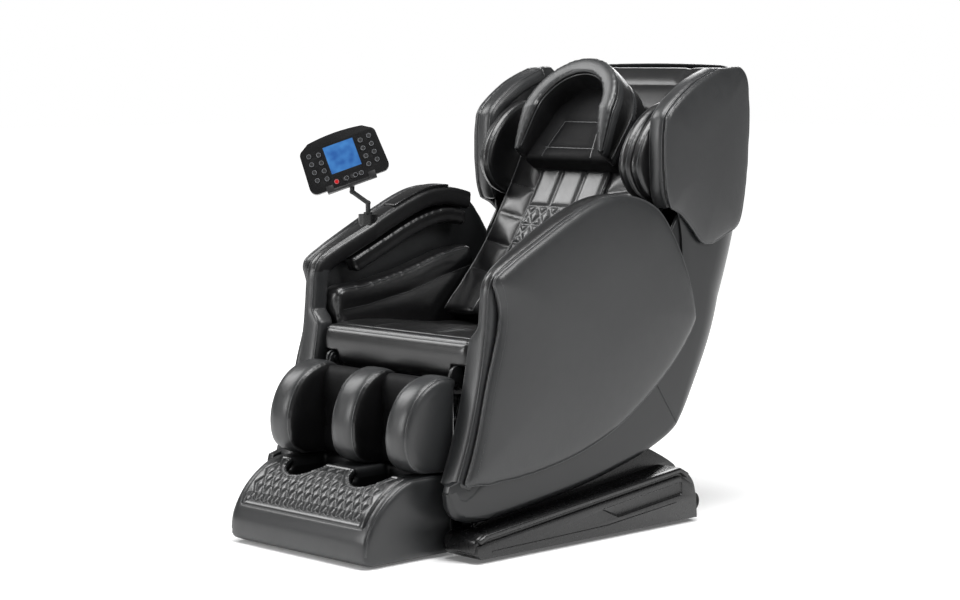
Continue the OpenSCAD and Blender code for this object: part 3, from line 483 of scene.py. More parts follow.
skirt_depth = along([26, 40, 60, 100, 112, 132, 150, 170, 190], len(skirt_low))
skirt_r = along([10, 14, 18, 20, 22, 22, 23, 24, 24], len(skirt_low))
skirt_left = swept("skirt_left_moulding", skirt_low, inward_at[: join_at + 1], [
    walls(d, r) + [(shell_half - r - 10, 0), (shell_half - r - 16, 6)]
    for d, r in zip(skirt_depth, skirt_r)], 5)
nose = plate("skirt_nose", [(-391, 162), (-386, 178), (-340, 190), (-230, 196), (-200, 110),
                            (-267, 89), (-338, 101), (-372, 128)], 300, 319.9)
round_edges(nose, 1.5)
skirt_left = joined("skirt_left_moulding", skirt_left, nose)
both_sides(skirt_left, "chair", "gloss_shell", satin_shell, "side_skirts")

shell_depth = along([190, 180, 190, 250, 300, 200, 150, 122], len(back_line))
sections = []
for i, d in enumerate(shell_depth):
    r = min(24 + (shell_corner - 24) * min(1, i / 20), d - 2)
    flat = [((shell_half - r) * t, -shell_crown * (1 - t * t)) for t in (0.8, 0.6, 0.4, 0.2, 0)]
    one = walls(d, r) + flat
    sections.append(one + [(-x, deep) for x, deep in one[-2::-1]])
shell = swept("back_shell_moulding", back_line, inward_at[join_at:], sections, 6)
fit(shell, "chair", "gloss_shell", satin_shell, "back_shell")

waist_rear = [back_line[i] + (shell_corner + 6) * inward_at[join_at + i] for i in range(8, 33)]
waist_top = smooth_line([(520, 745), (430, 760), (388, 750)], 3)
waist = plate("waist_lining_left", waist_rear + waist_top + [(350, 690), (300, 500)], 303.6, 313.6)
round_edges(waist, 3)
both_sides(waist, "chair", "gloss_shell", satin_shell, "waist_panels")

# ---------------------------------------------------------------- arms
# Each arm is a foam-padded leaf-shaped outer panel and one long pad that runs up
# its front and back along its top, in dark grey PU leather piped at the edges.
# Inside are a black forearm rest and the air cushion that presses from above.


def leather(name, code, rough, coat, shine=0.5):
    """PU leather: an embossed pebble grain over soft stretch wrinkles, satin topcoat."""
    made, tree = blank(name)
    where = add(tree, "ShaderNodeTexCoord")
    # real pebbles are about 1 mm across; they are drawn 3 mm wide to show at all
    pebble = add(tree, "ShaderNodeTexVoronoi", {"Vector": (where, "Object")}, Scale=330,
                 feature="SMOOTH_F1")
    crease, drift = noise(tree, 38, 4, Roughness=0.55), noise(tree, 6, 3)
    gloss = between(tree, crease, rough - 0.07, rough + 0.08)
    tone = mixed(tree, (drift, "Fac"), *shades(code, 0.8, 1.2))
    edges = add(tree, "ShaderNodeNewGeometry")
    rubbed = add(tree, "ShaderNodeMapRange", {"Value": (edges, "Pointiness")},
                 From_Min=0.53, From_Max=0.6, To_Min=0, To_Max=0.35)
    bare = [min(1, c * 2.2 + 0.01) for c in linear(code)[:3]] + [1]
    worn = mixed(tree, (rubbed, "Result"), b=bare, A=(tone, "Result"))
    fine = relief(tree, (pebble, "Distance"), 0.16, 0.8)
    bump = relief(tree, (crease, "Fac"), 0.1, 3, Normal=(fine, "Normal"))
    surface(tree, {"Base Color": (worn, "Result"), "Roughness": (gloss, "Result"),
                   "Normal": (bump, "Normal")},
            IOR=1.5, Specular_IOR_Level=shine, Coat_Weight=coat, Coat_Roughness=0.25)
    return made


# grey PU leather; the head pillow ring's forward faces also wear it as a painted highlight
grey_leather_and_painted_highlight = leather("satin_grey_pu_leather", "#1f2021", 0.4, 0.2)
black_leather = leather("gloss_black_pu_leather", "#0b0b0c", 0.33, 0.3)
quilted = leather("quilted_black_pu_leather", "#151617", 0.33, 0.4)
# black PU leather made darker and duller: painted shade for the inside of the head pillow and the
# calf channels
black_leather_with_painted_shade = leather("matt_black_pu_leather", "#070708", 0.6, 0.0, shine=0.15)
piping_leather = leather("piping_pu_leather", "#232425", 0.3, 0.4)
# each padded piece's body and material slot
chair_grey, chair_black = ("chair", "pu_leather_grey"), ("chair", "pu_leather_black")
leg_grey, foot_grey = ("legrest", "pu_leather_grey"), ("footrest", "pu_leather_grey")
foot_quilted = ("footrest", "quilted_leather")


def foam(piece, voxel=6, rounds=6):
    """Turns a sharp block into soft foam: an even mesh with its edges rubbed round."""
    apply(piece, "REMESH", mode="VOXEL", voxel_size=voxel * mm, use_smooth_shade=True)
    apply(piece, "SMOOTH", factor=0.5, iterations=rounds)
    return piece


def dense(line, step=3):
    """Points at most step mm apart along a 3-D line given in mm, in metres."""
    out = []
    for a, b in zip(line, line[1:]):
        a, b = np.array(a, float), np.array(b, float)
        count = max(1, int(np.linalg.norm(b - a) / step))
        out += [a + (b - a) * k / count for k in range(count)]
    return [Vector(p) * mm for p in out + [np.array(line[-1], float)]]


def seam_tree(seams):
    """A search tree that gives the distance from any place to the nearest seam."""
    points = [p for line in seams for p in dense(line)]
    tree = KDTree(len(points))
    for i, p in enumerate(points):
        tree.insert(p, i)
    tree.balance()
    return tree


def puff(piece, seams, rise, reach, past=-1):
    """Swells a padded piece between its seams: nothing at a seam, rise mm from reach mm on.

    Only what lies further out than past (m across the chair) moves."""
    tree = seam_tree(seams)
    normals = [v.normal.copy() for v in piece.data.vertices]
    for vertex, normal in zip(piece.data.vertices, normals):
        if vertex.co.x < past:
            continue
        near = min(1, tree.find(vertex.co)[2] / (reach * mm))
        vertex.co += normal * (rise * mm * math.sqrt(1 - (1 - near) ** 2))
    piece.data.update()
    return piece


def billow(piece, seams, cap):
    """Cloth simulation: air pressure swells the cover while its seams stay sewn down, cap in mm."""
    tree, sewn_width, frames = seam_tree(seams), 7 * mm, 20
    sewn = [v.index for v in piece.data.vertices if tree.find(v.co)[2] < sewn_width]
    piece.vertex_groups.new(name="sewn").add(sewn, 1.0, "REPLACE")
    start = [v.co.copy() for v in piece.data.vertices]
    cloth = piece.modifiers.new("cloth", "CLOTH")
    cloth.settings.use_pressure = True
    cloth.settings.uniform_pressure_force = 4
    cloth.settings.effector_weights.gravity = 0
    cloth.settings.vertex_group_mass = "sewn"
    cloth.point_cache.frame_end = frames
    for step in range(1, frames + 1):
        scene.frame_set(step)
    swollen = piece.evaluated_get(bpy.context.evaluated_depsgraph_get()).data
    ends = [v.co.copy() for v in swollen.vertices]
    piece.modifiers.remove(cloth)
    piece.vertex_groups.clear()
    for vertex, a, b in zip(piece.data.vertices, start, ends):
        move = b - a
        vertex.co = a + move * min(1, cap * mm / max(move.length, 1e-9))
    piece.data.update()
    scene.frame_set(1)


def at_x(line, x):
    """A side outline as a 3-D line at one place across the chair, in mm."""
    return [(x, p[0], p[1]) for p in line]


def across(points, half):
    """Straight seams across the chair at points of a side outline, in mm."""
    return [[(x, p[0], p[1]) for x in (-half, half)] for p in points]


def cords(name, host, lines, radius=2.2, sink=0.3):
    """Leather piping: round cords that lie on a padded piece along its seams."""
    curve = bpy.data.curves.new(name, "CURVE")
    curve.dimensions = "3D"
    curve.bevel_depth = radius * mm
    curve.bevel_resolution = 2
    curve.use_fill_caps = True
    for line in lines:
        points = []
        for p in dense(line, 6):
            found, place, normal, _ = host.closest_point_on_mesh(p)
            points.append(place - normal * radius * sink * mm if found else p)
        for _ in range(3):
            inner = [(points[i - 1] + points[i] * 2 + points[i + 1]) / 4
                     for i in range(1, len(points) - 1)]
            points = [points[0]] + inner + [points[-1]]
        spline = curve.splines.new("POLY")
        spline.points.add(len(points) - 1)
        for target, p in zip(spline.points, points):
            target.co = (*p, 1)
    made = bpy.data.objects.new(name, curve)
    scene.collection.objects.link(made)
    activate(made)
    bpy.ops.object.convert(target="MESH")
    made = bpy.context.object
    made.data.materials.append(piping_leather)
    bpy.ops.object.shade_smooth()
    return made


thread, tree = blank("waxed_polyester_thread")
surface(tree, {"Roughness": (between(tree, noise(tree, 700), 0.4, 0.6), "Result")},
        Base_Color=linear("#343537"), Sheen_Weight=0.3)


def stitches(name, host, lines, pitch=5.5, length=3.6, radius=0.55):
    """Top-stitching: a row of short thread loops lying on a padded piece."""
    corners, sides = [], []
    for line in lines:
        points = dense(line, 1.5)
        gone, last = 0.0, points[0]
        for p in points[1:]:
            gone += (p - last).length
            if gone >= pitch * mm:
                found, place, normal, _ = host.closest_point_on_mesh(p)
                run = (p - last).normalized()
                side = run.cross(normal).normalized() * radius * mm
                rise = normal * radius * mm
                first = len(corners)
                for share, wide in ((-0.5, 0.3), (-0.3, 1), (0.3, 1), (0.5, 0.3)):
                    middle = place + run * length * share * mm
                    corners += [middle + side * wide, middle + rise * wide * 1.2,
                                middle - side * wide, middle - rise * wide]
                for k in range(3):
                    for q in range(4):
                        a = first + 4 * k
                        sides.append((a + q, a + (q + 1) % 4, a + 4 + (q + 1) % 4, a + 4 + q))
                sides += [(first + 3, first + 2, first + 1, first),
                          (first + 12, first + 13, first + 14, first + 15)]
                gone = 0.0
            last = p
    mesh = bpy.data.meshes.new(name)
    mesh.from_pydata(corners, [], sides)
    mesh.update()
    made = bpy.data.objects.new(name, mesh)
    scene.collection.objects.link(made)
    made.data.materials.append(thread)
    face_outwards(made)
    bpy.ops.object.shade_smooth()
    return made


def two_tone(piece, second, test):
    """Gives the faces that pass a test a second finish."""
    piece.data.materials.append(second)
    for face in piece.data.polygons:
        if test(face):
            face.material_index = 1


leaf_front = smooth_line([(-352, 174), (-317, 265), (-283, 395), (-252, 500), (-244, 560),
                          (-254, 606), (-262, 622)], 5)
leaf_rest = smooth_line([(-258, 638), (-240, 653), (-158, 697), (-15, 767), (80, 804), (156, 812),
                         (230, 800), (296, 769), (350, 706), (401, 616), (432, 520), (424, 476),
                         (332, 377), (176, 270), (30, 211), (-132, 179), (-280, 169)], 5)
leaf = foam(plate("arm_panel_left_pad", leaf_front + leaf_rest, 321, 337), 5, 5)
rim = at_x(leaf_front + leaf_rest + [leaf_front[0]], 337)
puff(leaf, [rim], 13, 190, past=331 * mm)
apply(leaf, "SMOOTH", factor=0.5, iterations=24)
front_edge = leaf_front[1:-1]
puff(leaf, [at_x(beside(front_edge, -13), 341)], 1.6, 9)
leaf_cord = cords("arm_panel_left_piping", leaf, [rim])
leaf_thread = stitches("arm_panel_left_stitching", leaf, [at_x(beside(front_edge, -17), 342)])
both_sides(leaf, *chair_grey, grey_leather_and_painted_highlight,
           "arm_panel_left", "arm_panel_right", fill=0.9)
both_sides(leaf_cord, *chair_grey)
both_sides(leaf_thread, *chair_grey)

arm_line = smooth_line([(-360, 176), (-326, 262), (-300, 350), (-282, 430), (-270, 510),
                        (-264, 574), (-258, 620), (-228, 656), (-120, 712), (-14, 762), (90, 800),
                        (170, 806), (250, 790)], 5)


def arm_inner(y, z):
    """How far the arm's inner edge steps out above the seat, easing back along the top, in mm."""
    step_z, step_height, step_out, eased = 490, 36, 28, 0.7
    t = min(1, max(0, (z - step_z) / step_height))
    back = min(1, max(0, (y + 240) / 160))
    return step_out * t * t * (3 - 2 * t) * (1 - eased * back)


arm_x0, arm_x1 = 262, 318
arm = foam(plate("arm_front_and_rail_left_pad", band(arm_line, -39), arm_x0, arm_x1), 4, 5)
for vertex in arm.data.vertices:
    share = (arm_x1 * mm - vertex.co.x) / ((arm_x1 - arm_x0) * mm)
    vertex.co.x += arm_inner(vertex.co.y / mm, vertex.co.z / mm) * share * mm
arm_seams = [[(arm_x0 + 2 + arm_inner(*p), *p) for p in arm_line], at_x(arm_line, arm_x1 - 2)]
puff(arm, arm_seams, 5, 24)
arm_cord = cords("arm_front_and_rail_left_piping", arm, arm_seams)
arm.data.materials.append(grey_leather_and_painted_highlight)
# black from the armrest's top on, grey down its front
two_tone(arm, black_leather, lambda face: face.center.z > 0.64 + 0.1 * face.center.y)
both_sides(arm, *chair_grey, grey_leather_and_painted_highlight,
           "arm_front_left", "arm_front_right", "arm_rail_left", "arm_rail_right", fill=0.8)
both_sides(arm_cord, *chair_grey)

bag_line = smooth_line([(-150, 640), (-60, 680), (60, 730), (160, 752), (230, 742)], 5)
bag = foam(plate("forearm_bag_left_pad", band(bag_line, -32), 270, 306), 5, 5)
puff(bag, [at_x(beside(bag_line, -16), 268), at_x(beside(bag_line, -16), 308)], 4, 20)
both_sides(bag, *chair_black, black_leather, "forearm_bags", fill=0.7)

rest_top = smooth_line([(-214, 500), (-218, 548), (-200, 572), (-120, 578), (20, 606), (140, 640),
                        (230, 652)], 5)
rest_line = rest_top + [(250, 560), (230, 430), (-200, 430)]
rest = foam(plate("arm_pad_left_pad", rest_line, 255, 302), 5, 7)
rest_seam = at_x(beside(rest_top, -3), 256)
inner_seam = at_x([(-205, 520), (-120, 528), (20, 552), (140, 585), (236, 606)], 252)
puff(rest, [rest_seam, inner_seam], 6, 30)
rest_cord = cords("arm_pad_left_piping", rest, [rest_seam, at_x(rest_top, 302)], 2)
rest_thread = stitches("arm_pad_left_stitching", rest, [inner_seam])
both_sides(rest, *chair_black, black_leather,
           "arm_pad_left", "arm_pad_right", fill=0.8)
both_sides(rest_cord, *chair_black)
both_sides(rest_thread, *chair_black)

# ---------------------------------------------------------------- head wings
# Padded wings stand forward at both sides of the head: a grey outer panel, a
# piped rim round its front edge, and twin shoulder air cushions inside.
wing_front = smooth_line([(344, 772), (330, 812), (324, 880), (326, 966), (344, 1010), (430, 1071),
                          (520, 1107)], 6)
wing_rest = smooth_line([(600, 1112), (628, 1080), (636, 980), (628, 840), (604, 728), (567, 704)],
                        5) + smooth_line([(505, 679), (462, 682), (420, 722), (381, 757)], 5)
wing = foam(plate("wing_panel_left_pad", wing_front + wing_rest, 320, 331), 5, 4)
wing_edge = wing_front + wing_rest + [wing_front[0]]
puff(wing, [at_x(wing_edge, 332)], 9, 110, past=327 * mm)
wing_cord = cords("wing_panel_left_piping", wing, [at_x(wing_edge, 331)], 2)
both_sides(wing, *chair_grey, grey_leather_and_painted_highlight,
           "wing_panel_left", "wing_panel_right", fill=0.9)
both_sides(wing_cord, *chair_grey)

rim_pad = foam(plate("wing_rim_left_pad", band(wing_front, -30), 276, 319), 5, 6)
rim_seams = [at_x(wing_front, 278), at_x(wing_front, 318)]
puff(rim_pad, rim_seams, 5, 20)
rim_cord = cords("wing_rim_left_piping", rim_pad, rim_seams)
both_sides(rim_pad, *chair_grey, grey_leather_and_painted_highlight, "wing_rims", fill=0.8)
both_sides(rim_cord, *chair_grey)

shoulder_line = smooth_line([(345, 790), (300, 812), (272, 860), (276, 900), (300, 945), (345, 990),
                             (400, 1018), (440, 1016)], 5) + [(494, 985), (438, 888), (418, 820)]
for name, inner, outer, shift, nodes in (
        ("shoulder_bag_inner_left_pad", 229, 249, 0, ["shoulder_bags"]),
        ("shoulder_bag_outer_left_pad", 250, 270, 16, [])):
    outline = [np.array(p) + np.array([shift, 0]) for p in shoulder_line]
    cushion = foam(plate(name, outline, inner, outer), 4, 4)
    loop = outline + [outline[0]]
    bag_seams = [at_x(loop, inner), at_x(loop, outer)]
    puff(cushion, bag_seams, 7, 14)
    trim = cords(name.replace("_pad", "_piping"), cushion, bag_seams, 2)
    both_sides(cushion, *chair_grey, black_leather, *nodes, fill=0.7)
    both_sides(trim, *chair_grey)

lining_line = smooth_line([(448, 884), (516, 990), (576, 1064), (620, 1108)], 6)
lining = foam(plate("head_lining_pad", band(lining_line, -14), -271, 271), 6, 4)
lining_seams = across((lining_line[6], lining_line[12]), 272)
lining_seams += [at_x(lining_line, x) for x in (-271, -150, 150, 271)]
puff(lining, lining_seams, 5, 30)
fit(lining, *chair_black, black_leather, "head_lining", fill=0.8)

# ---------------------------------------------------------------- seat
# A foam cushion on the steel pan, black PU leather, with a padded apron that
# rolls over the pan's front edge under a double piped seam.
seat_top = smooth_line([(-232, 486), (-226, 491), (-150, 493), (-20, 478), (60, 470),
                        (196, 466)], 5)
seat = foam(plate("seat_cushion", [(-231, 410)] + seat_top + [(195, 410)], -245, 245), 7, 5)
seat_seams = across((seat_top[1], seat_top[-1]), 245)
seat_seams += [at_x(seat_top, x) for x in (-244, 244, -112, 112)]
billow(seat, seat_seams, 6)
puff(seat, seat_seams, 5, 60)
seat_cord = cords("seat_cushion_piping", seat, seat_seams[:1] + seat_seams[2:4], 2.4)
seat_thread = stitches("seat_cushion_stitching", seat, seat_seams[4:])
fit(seat, *chair_black, black_leather, "seat_pad", fill=0.7)
fit(seat_cord, *chair_black)
fit(seat_thread, *chair_black)

apron_line = smooth_line([(-252, 398), (-262, 410), (-265, 440), (-264, 466), (-256, 484),
                          (-236, 491)], 5)
apron = foam(plate("seat_apron_pad", [(-236, 398)] + apron_line, -245, 245), 4, 4)
# its lower corners are drawn up round the leg rest's hinge brackets
corner_x, corner_z, corner_share = 195 * mm, 436 * mm, 0.1
for vertex in apron.data.vertices:
    if vertex.co.z < corner_z and abs(vertex.co.x) > corner_x:
        vertex.co.z = corner_z + (vertex.co.z - corner_z) * corner_share
apron_seams = across((apron_line[-1], apron_line[-7]), 246)
puff(apron, apron_seams + [at_x(apron_line, -245), at_x(apron_line, 245)], 4, 26)
apron_cord = cords("seat_apron_piping", apron, apron_seams, 2.4)
fit(apron, *chair_black, black_leather, "seat_apron", fill=0.8)
fit(apron_cord, *chair_black)

# ---------------------------------------------------------------- back pad
# The reclined back: two puffed bolsters with cross seams, and a zipped-on centre
# panel with plain strips above and below two rows of diamond quilting.
pad_face = smooth_line([(110, 504), (136, 532), (178, 574), (240, 646), (292, 720), (348, 812),
                        (392, 895)], 8)


def lengths(line):
    """How far along a line each of its points lies."""
    return list(np.cumsum([0.0] + [float(np.linalg.norm(b - a)) for a, b in zip(line, line[1:])]))


pad_len = lengths(pad_face)


def on_pad(x, s, out=0):
    """A point on the back pad's face: x across, s up it, out in front of it, in mm."""
    i = max(0, min(len(pad_face) - 2, int(np.searchsorted(pad_len, s)) - 1))
    run = (pad_face[i + 1] - pad_face[i]) / (pad_len[i + 1] - pad_len[i])
    p = pad_face[i] + run * (s - pad_len[i]) + out * np.array([-run[1], run[0]])
    return (x, p[0], p[1])


def up_pad(x, s0, s1, out=0):
    return [on_pad(x, s, out) for s in np.linspace(s0, s1, 20)]


pad_top = pad_len[-1]
back = foam(plate("back_cushion", band(pad_face, -50), -225, 225), 6, 6)
back_seams = [up_pad(x, 0, pad_top) for x in (-222, -120, 120, 222)]
cross_at = [120, 205, 290, 375]
back_seams += [[on_pad(side * x, s + (x - 120) * 0.16) for x in (120, 155, 190, 224)]
               for side in (-1, 1) for s in cross_at]
rear = [v.co.copy() if v.normal.y > 0.3 else None for v in back.data.vertices]
billow(back, back_seams, 6)
puff(back, back_seams, 7, 46)
for vertex, kept in zip(back.data.vertices, rear):
    # the rear face lies flat on the frame, clear of the rollers
    if kept:
        vertex.co = kept
back_cord = cords("back_cushion_piping", back, back_seams[:4], 2.4)
back_thread = stitches("back_cushion_stitching", back, back_seams[4:])
fit(back, *chair_black, black_leather, "back_pad", fill=0.8)
fit(back_cord, *chair_black)
fit(back_thread, *chair_black)

panel_half, panel_low, panel_high = 116, 100, 430
quilt_low, quilt_high = 214, 324
panel_line = [np.array(on_pad(0, s)[1:]) for s in np.linspace(panel_low, panel_high, 34)]
panel = foam(plate("back_centre_panel", band(panel_line, 9), -panel_half, panel_half), 3.5, 3)
edges = [up_pad(x, panel_low, panel_high, 10) for x in (-114, 114)]
strips = [up_pad(x, s0, s1, 10) for x in (-40, 40)
          for s0, s1 in ((panel_low, quilt_low), (quilt_high, panel_high))]
crossing = [[on_pad(x, s, 10) for x in (-115, 0, 115)]
            for s in (panel_low + 3, quilt_low, (quilt_low + quilt_high) / 2, quilt_high)]
diamonds = []
row_h, pitch = (quilt_high - quilt_low) / 2, 2 * panel_half / 6
for low in (quilt_low, quilt_low + row_h):
    for k in range(6):
        left = -panel_half + k * pitch
        diamonds.append([on_pad(left, low, 10), on_pad(left + pitch, low + row_h, 10)])
        diamonds.append([on_pad(left, low + row_h, 10), on_pad(left + pitch, low, 10)])
puff(panel, edges + strips + crossing + diamonds, 7, 17)
panel_cord = cords("back_centre_panel_piping", panel, edges + [crossing[0]], 2)
panel_thread = stitches("back_centre_panel_stitching", panel, strips + crossing[1:] + diamonds, 5)
fit(panel, "chair", "quilted_leather", quilted, "back_overlay", fill=0.8)
fit(panel_cord, "chair", "quilted_leather")
fit(panel_thread, "chair", "quilted_leather")

# ---------------------------------------------------------------- head pillow
# A deep horseshoe hood round the head: a fat foam ring over a padded back,
# piped on both edges, with the speakers hidden in its dark side walls.
lean = math.radians(54)
pillow_foot = np.array([361, 853])
arch_z = 105  # from the hood's foot up to the centre of its arch
up_back = np.array([math.cos(lean), math.sin(lean)])
forward = np.array([-math.sin(lean), math.cos(lean)])


def in_pillow(x, up, out):
    p = pillow_foot + up * up_back + out * forward
    return (x, p[0], p[1])


def arch(r, low, count=28):
    """The horseshoe line: straight sides and a half circle over them."""
    turn = [math.pi * k / count for k in range(count + 1)]
    top = [(r * math.cos(a), arch_z + r * math.sin(a)) for a in turn]
    return [(r, low)] + top + [(-r, low)]


def hood(name, outline, deep, out):
    """A solid of the pillow from an outline across its face, from depth deep to depth out."""
    piece = plate(name, outline, 0, out - deep)
    for vertex in piece.data.vertices:
        t, x, up = vertex.co / mm
        vertex.co = Vector(in_pillow(x, up, deep + t)) * mm
    return face_outwards(piece)


def tapered(line):
    """The hood's inner line, drawn out to its outer one at the two lower ends."""
    drawn = 0.24
    return [(x * (1 + drawn * max(0, 1 - up / arch_z) ** 1.5), up) for x, up in line]


ring = foam(hood("head_pillow_hood", arch(148, 0) + tapered(arch(112, 4))[::-1], 30, 126), 4, 9)


def swept_back(up, out):
    """A depth in the hood, whose front edge runs back towards its lower ends."""
    deep, least = 46, 0.52
    if out < deep:
        return out
    return deep + (out - deep) * (least + (1 - least) * min(1, max(0, up) / arch_z) ** 0.8)


for vertex in ring.data.vertices:
    flat = np.array([vertex.co.y, vertex.co.z]) / mm - pillow_foot
    up, out = float(flat @ up_back), float(flat @ forward)
    vertex.co = Vector(in_pillow(vertex.co.x / mm, up, swept_back(up, out))) * mm
outer_line = [in_pillow(x, u, swept_back(u, 114)) for x, u in arch(147, 6)]
inner_line = [in_pillow(x, u, swept_back(u, 116)) for x, u in tapered(arch(116, 12))]
deep_line = [in_pillow(x, u, 46) for x, u in arch(147, 6)]
puff(ring, [outer_line, inner_line, deep_line], 6, 24)
ring_cord = cords("head_pillow_piping", ring, [outer_line, inner_line, deep_line], 2.6)
base_pad = foam(hood("head_pillow_back", arch(146, 2), 0, 52), 5, 5)
flap = [[(-60, 110), (-84, 4)], [(60, 110), (84, 4)], [(-60, 110), (60, 110)],
        [(-84, 30), (84, 30)], arch(144, 2)]
flap_seams = [[in_pillow(x, up, 52) for x, up in line] for line in flap]
puff(base_pad, flap_seams, 7, 30)
lip_cord = cords("head_pillow_back_piping", base_pad, flap_seams[:4], 1.6)
# the ring is black leather; its faces that turn forward and out to the sides get the grey leather
# as a painted highlight
ring.data.materials.append(black_leather)
two_tone(ring, grey_leather_and_painted_highlight, lambda face: face.normal.dot(
    Vector((0, forward[0], forward[1]))) + face.normal.x * face.center.x * 2 > 0.35)
fit(ring, *chair_black, black_leather, "head_pillow", fill=0.9)
# the hood's back pad, inside the ring, is black leather darkened as painted shade
fit(base_pad, *chair_black, black_leather_with_painted_shade, fill=0.8)
fit(ring_cord, *chair_black)
fit(lip_cord, *chair_black)

# ---------------------------------------------------------------- leg rest
# Two side lobes and a middle lobe stand forward of a steel frame and leave two
# calf channels between them. A grey band wraps each lobe between two piped seams;
# the sides that face the calves are black and cushion the air bags.
lobe_front = smooth_line([(-292, 401), (-332, 408), (-378, 393), (-413, 364), (-437, 320),
                          (-445, 271), (-434, 226), (-402, 203), (-362, 198)], 6)
lobe_line = [(-302, 201), (-302, 384)] + lobe_front


def lobe(name, x0, x1, line, front, black_side):
    piece = foam(plate(name, line, x0 + 2, x1 - 2), 4, 5)
    seams = [at_x(front, x0 + 4), at_x(front, x1 - 4)]
    puff(piece, seams, 6, 26)
    piece.data.materials.append(grey_leather_and_painted_highlight)
    two_tone(piece, black_leather, black_side)
    return piece, cords(name.replace("_pad", "_piping"), piece, seams, 2.4)


side_lobe, side_cord = lobe("calf_lobe_left_pad", 170, 240, lobe_line, lobe_front,
                            lambda face: face.center.x < 174.5 * mm)
both_sides(side_lobe, *leg_grey, grey_leather_and_painted_highlight,
           "calf_pad_left", "calf_pad_right", fill=0.9)
both_sides(side_cord, *leg_grey)
mid_front = [(-302 + (p[0] + 302) * 0.87, p[1]) for p in lobe_front]
mid_line = [(-302 + (p[0] + 302) * 0.87, p[1]) for p in lobe_line]
middle, middle_cord = lobe("calf_divider_pad", -38, 38, mid_line, mid_front,
                           lambda face: abs(face.center.x) > 34 * mm)
fit(middle, *leg_grey, grey_leather_and_painted_highlight, "calf_divider", fill=0.9)
fit(middle_cord, *leg_grey)
calf_line = smooth_line([(-303, 396), (-320, 396), (-336, 370), (-332, 290), (-336, 206),
                         (-303, 202)], 5)
calf = foam(plate("calf_back_left_pad", calf_line, 40, 170), 5, 4)
puff(calf, [[(x, -335, z) for x in (40, 170)] for z in (260, 320)], 6, 28)
# the calf channels' backs are black leather darkened as painted shade
both_sides(calf, "legrest", "pu_leather_black", black_leather_with_painted_shade, fill=0.8)

# ---------------------------------------------------------------- foot box
# A padded box round the feet, open on top in two foot wells. Grey PU leather,
# with a diamond-quilted panel let in between its two cheeks.
quilt_line = smooth_line([(-430, 187), (-466, 173), (-506, 146), (-538, 112), (-551, 90)], 6)
box_line = [(-306, 9), (-306, 188), (-418, 188)] + quilt_line + smooth_line(
    [(-555, 84), (-564, 64), (-567, 44), (-565, 18), (-552, 9)], 5)
tub = plate("foot_box_pad", box_line, -238, 238)
well_x, well_r, well_y = 113, 70, -420
well_bulge = 0.93  # how deep the half round in front is, to its radius


def well(side):
    """A foot opening: straight behind, half round in front, seen from above."""
    turn = [math.pi * k / 16 for k in range(17)]
    plan = [(well_x + well_r * math.cos(a), well_y - well_bulge * well_r * math.sin(a))
            for a in turn]
    plan += [(well_x - well_r, -322), (well_x + well_r, -322)]
    piece = plate("well", [(side * x, y) for x, y in plan], 26, 240)
    for vertex in piece.data.vertices:
        up, x, y = vertex.co
        vertex.co = (x, y, up)
    return face_outwards(piece)


for side in (-1, 1):
    cut(tub, well(side))
cut(tub, plate("tray", band(quilt_line, 24), -216, 216))
foam(tub, 5, 5)
cheek_line = smooth_line([(-400, 186), (-430, 186), (-466, 172), (-506, 145), (-538, 111),
                          (-560, 72), (-565, 30)], 5)
tub_seams = [at_x(line, x) for line in (cheek_line, [(-310, 187), (-400, 187)])
             for x in (-236, 236)]
puff(tub, tub_seams, 4, 40)
tub_cord = cords("foot_box_piping", tub, tub_seams, 2.4)
tub.data.materials.append(grey_leather_and_painted_highlight)
# the foot wells are lined in black
two_tone(tub, black_leather, lambda face: 46 * mm < abs(face.center.x) < 180 * mm
         and -0.474 < face.center.y < -0.316 and 0.02 < face.center.z < 0.166)
fit(tub, *foot_grey, grey_leather_and_painted_highlight, "foot_box", fill=0.9)
fit(tub_cord, *foot_grey)

quilt = plate("foot_quilt_pad", band(quilt_line, 7), -214, 214)
for side in (-1, 1):
    cut(quilt, well(side))
foam(quilt, 2.2, 3)
face_line = beside(quilt_line, -1)
run = lengths(face_line)


def on_quilt(x, s):
    y = np.interp(s, run, [p[0] for p in face_line])
    z = np.interp(s, run, [p[1] for p in face_line])
    return (x, float(y), float(z))


def upper_edge(x):
    """Where the quilted panel's upper seam runs: straight, with a bite round each foot opening."""
    off, bite = abs(abs(x) - well_x), well_r + 5
    if off >= bite:
        return q_low
    front = well_y - well_bulge * math.sqrt(bite**2 - off**2)
    return max(q_low, float(np.interp(-front, [-p[0] for p in face_line], run)))


cols, rows = 28, 6
q_x, q_low, q_high = 200, 9, run[-1] - 9
step_x, step_s = 2 * q_x / cols, (q_high - q_low) / rows
quilting = []
for row in range(rows):
    for k in range(cols):
        x, s = -q_x + k * step_x, q_low + row * step_s
        flip = (row + k) % 2
        if s + step_s / 2 > upper_edge(x + step_x / 2):
            quilting.append([on_quilt(x, s + flip * step_s),
                             on_quilt(x + step_x, s + (1 - flip) * step_s)])
frame_seam = [on_quilt(-q_x, q_low), on_quilt(-q_x, q_high), on_quilt(q_x, q_high)]
frame_seam += [on_quilt(x, upper_edge(x)) for x in np.linspace(q_x, -q_x, 90)]
puff(quilt, quilting + [frame_seam], 6.5, 11)
quilt_cord = cords("foot_quilt_piping", quilt, [frame_seam], 1.2)
quilt_thread = stitches("foot_quilt_stitching", quilt, quilting, 5)
fit(quilt, *foot_quilted, quilted, "foot_quilt", fill=0.9)
fit(quilt_cord, *foot_quilted)
fit(quilt_thread, *foot_quilted)

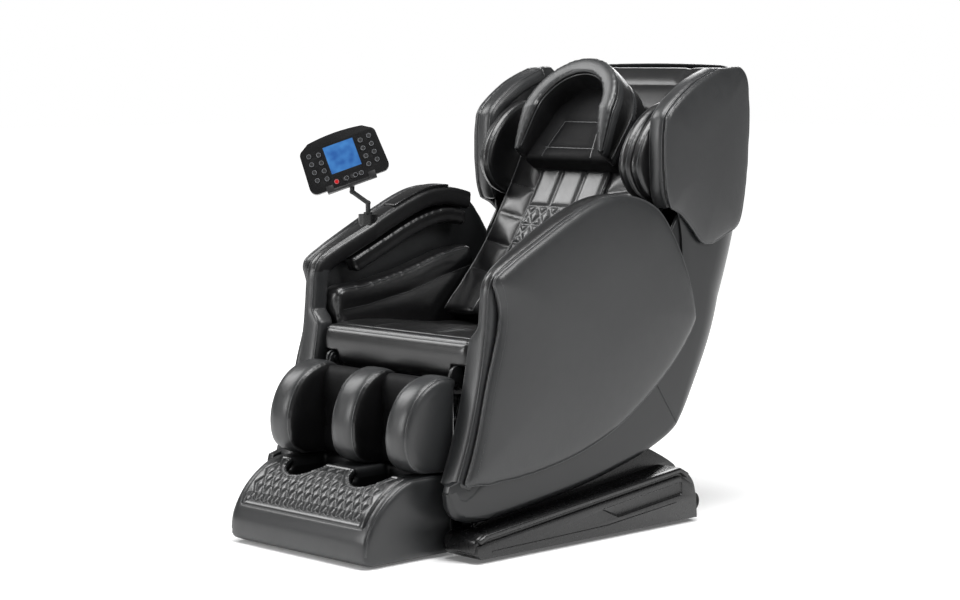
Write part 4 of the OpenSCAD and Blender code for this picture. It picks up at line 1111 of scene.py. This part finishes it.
# ---------------------------------------------------------------- tablet remote
# A black ABS tablet with membrane keys in printed rings round a lit display,
# clipped in a cradle on a bent steel stem that stands on the far armrest.
screen_glass, tree = blank("lit_display_glass")
where = add(tree, "ShaderNodeTexCoord")
low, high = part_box("tablet_screen")
centred = add(tree, "ShaderNodeMapping", {"Vector": (where, "Object")},
              Location=-(low + high) / 2)
spread = add(tree, "ShaderNodeTexGradient", {"Vector": (centred, "Vector")},
             gradient_type="SPHERICAL")
haze = add(tree, "ShaderNodeMath", {0: (spread, "Fac"), 1: (noise(tree, 45, 1), "Fac")},
           operation="MULTIPLY")
glow = mixed(tree, (haze, "Value"), linear("#0f3f9a"), linear("#62b4ff"))
surface(tree, {"Emission Color": (glow, "Result")}, Base_Color=linear("#06122b"),
        Roughness=0.12, IOR=1.5, Emission_Strength=0.7)
dress(screen_glass, "tablet_screen")
refine("tablet_case", 2.0, "remote", "remote_case", gloss_abs, 3)
refine("tablet_cradle", 0.8, "cradle", "base_plastic", textured_abs)
refine("arm_dock", 2.5, "chair", "base_plastic", gloss_abs, 3)
dress(powder_coat, "holder_stem")
dress(gloss_abs, "holder_base")
ring_paint = moulded("printed_key_ring", "#77797d", 0.35, 0.02, 800)
dress(textured_abs, "keys_left", "keys_right", "keys_lower")
dress(red_abs, "power_key")
# the way the keys face out of the case
key_out = Vector((0.70362, -0.679478, 0.207912))
turned = key_out.to_track_quat("Z", "Y").to_euler()


def key_rings(name, node, body):
    """A printed ring round the edge of each key cap of a group."""
    key_size, face_depth = 13.5 * mm, 0.2 * mm
    clusters = []
    for p in [v.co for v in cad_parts[node].data.vertices]:
        for group in clusters:
            if (group[0] - p).length < key_size:
                group.append(p)
                break
        else:
            clusters.append([p])
    rings_made = []
    for group in clusters:
        reach = max(p.dot(key_out) for p in group)
        front = [p for p in group if p.dot(key_out) > reach - face_depth]
        centre = sum(front, Vector()) / len(front)
        bpy.ops.object.select_all(action="DESELECT")
        bpy.ops.mesh.primitive_torus_add(
            location=centre, rotation=turned, major_radius=5.2 * mm, minor_radius=0.4 * mm,
            major_segments=24, minor_segments=6)
        bpy.ops.object.transform_apply(location=True, rotation=True, scale=True)
        rings_made.append(bpy.context.object)
    made = joined(name, *rings_made) if len(rings_made) > 1 else rings_made[0]
    made.name = made.data.name = name
    bpy.ops.object.shade_smooth()
    fit(made, body, "key_caps", ring_paint)


for side in ("left", "right", "lower"):
    key_rings(f"key_rings_{side}", f"keys_{side}", f"key_group_{side}")
key_rings("power_key_ring", "power_key", "key_power")

low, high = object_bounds()
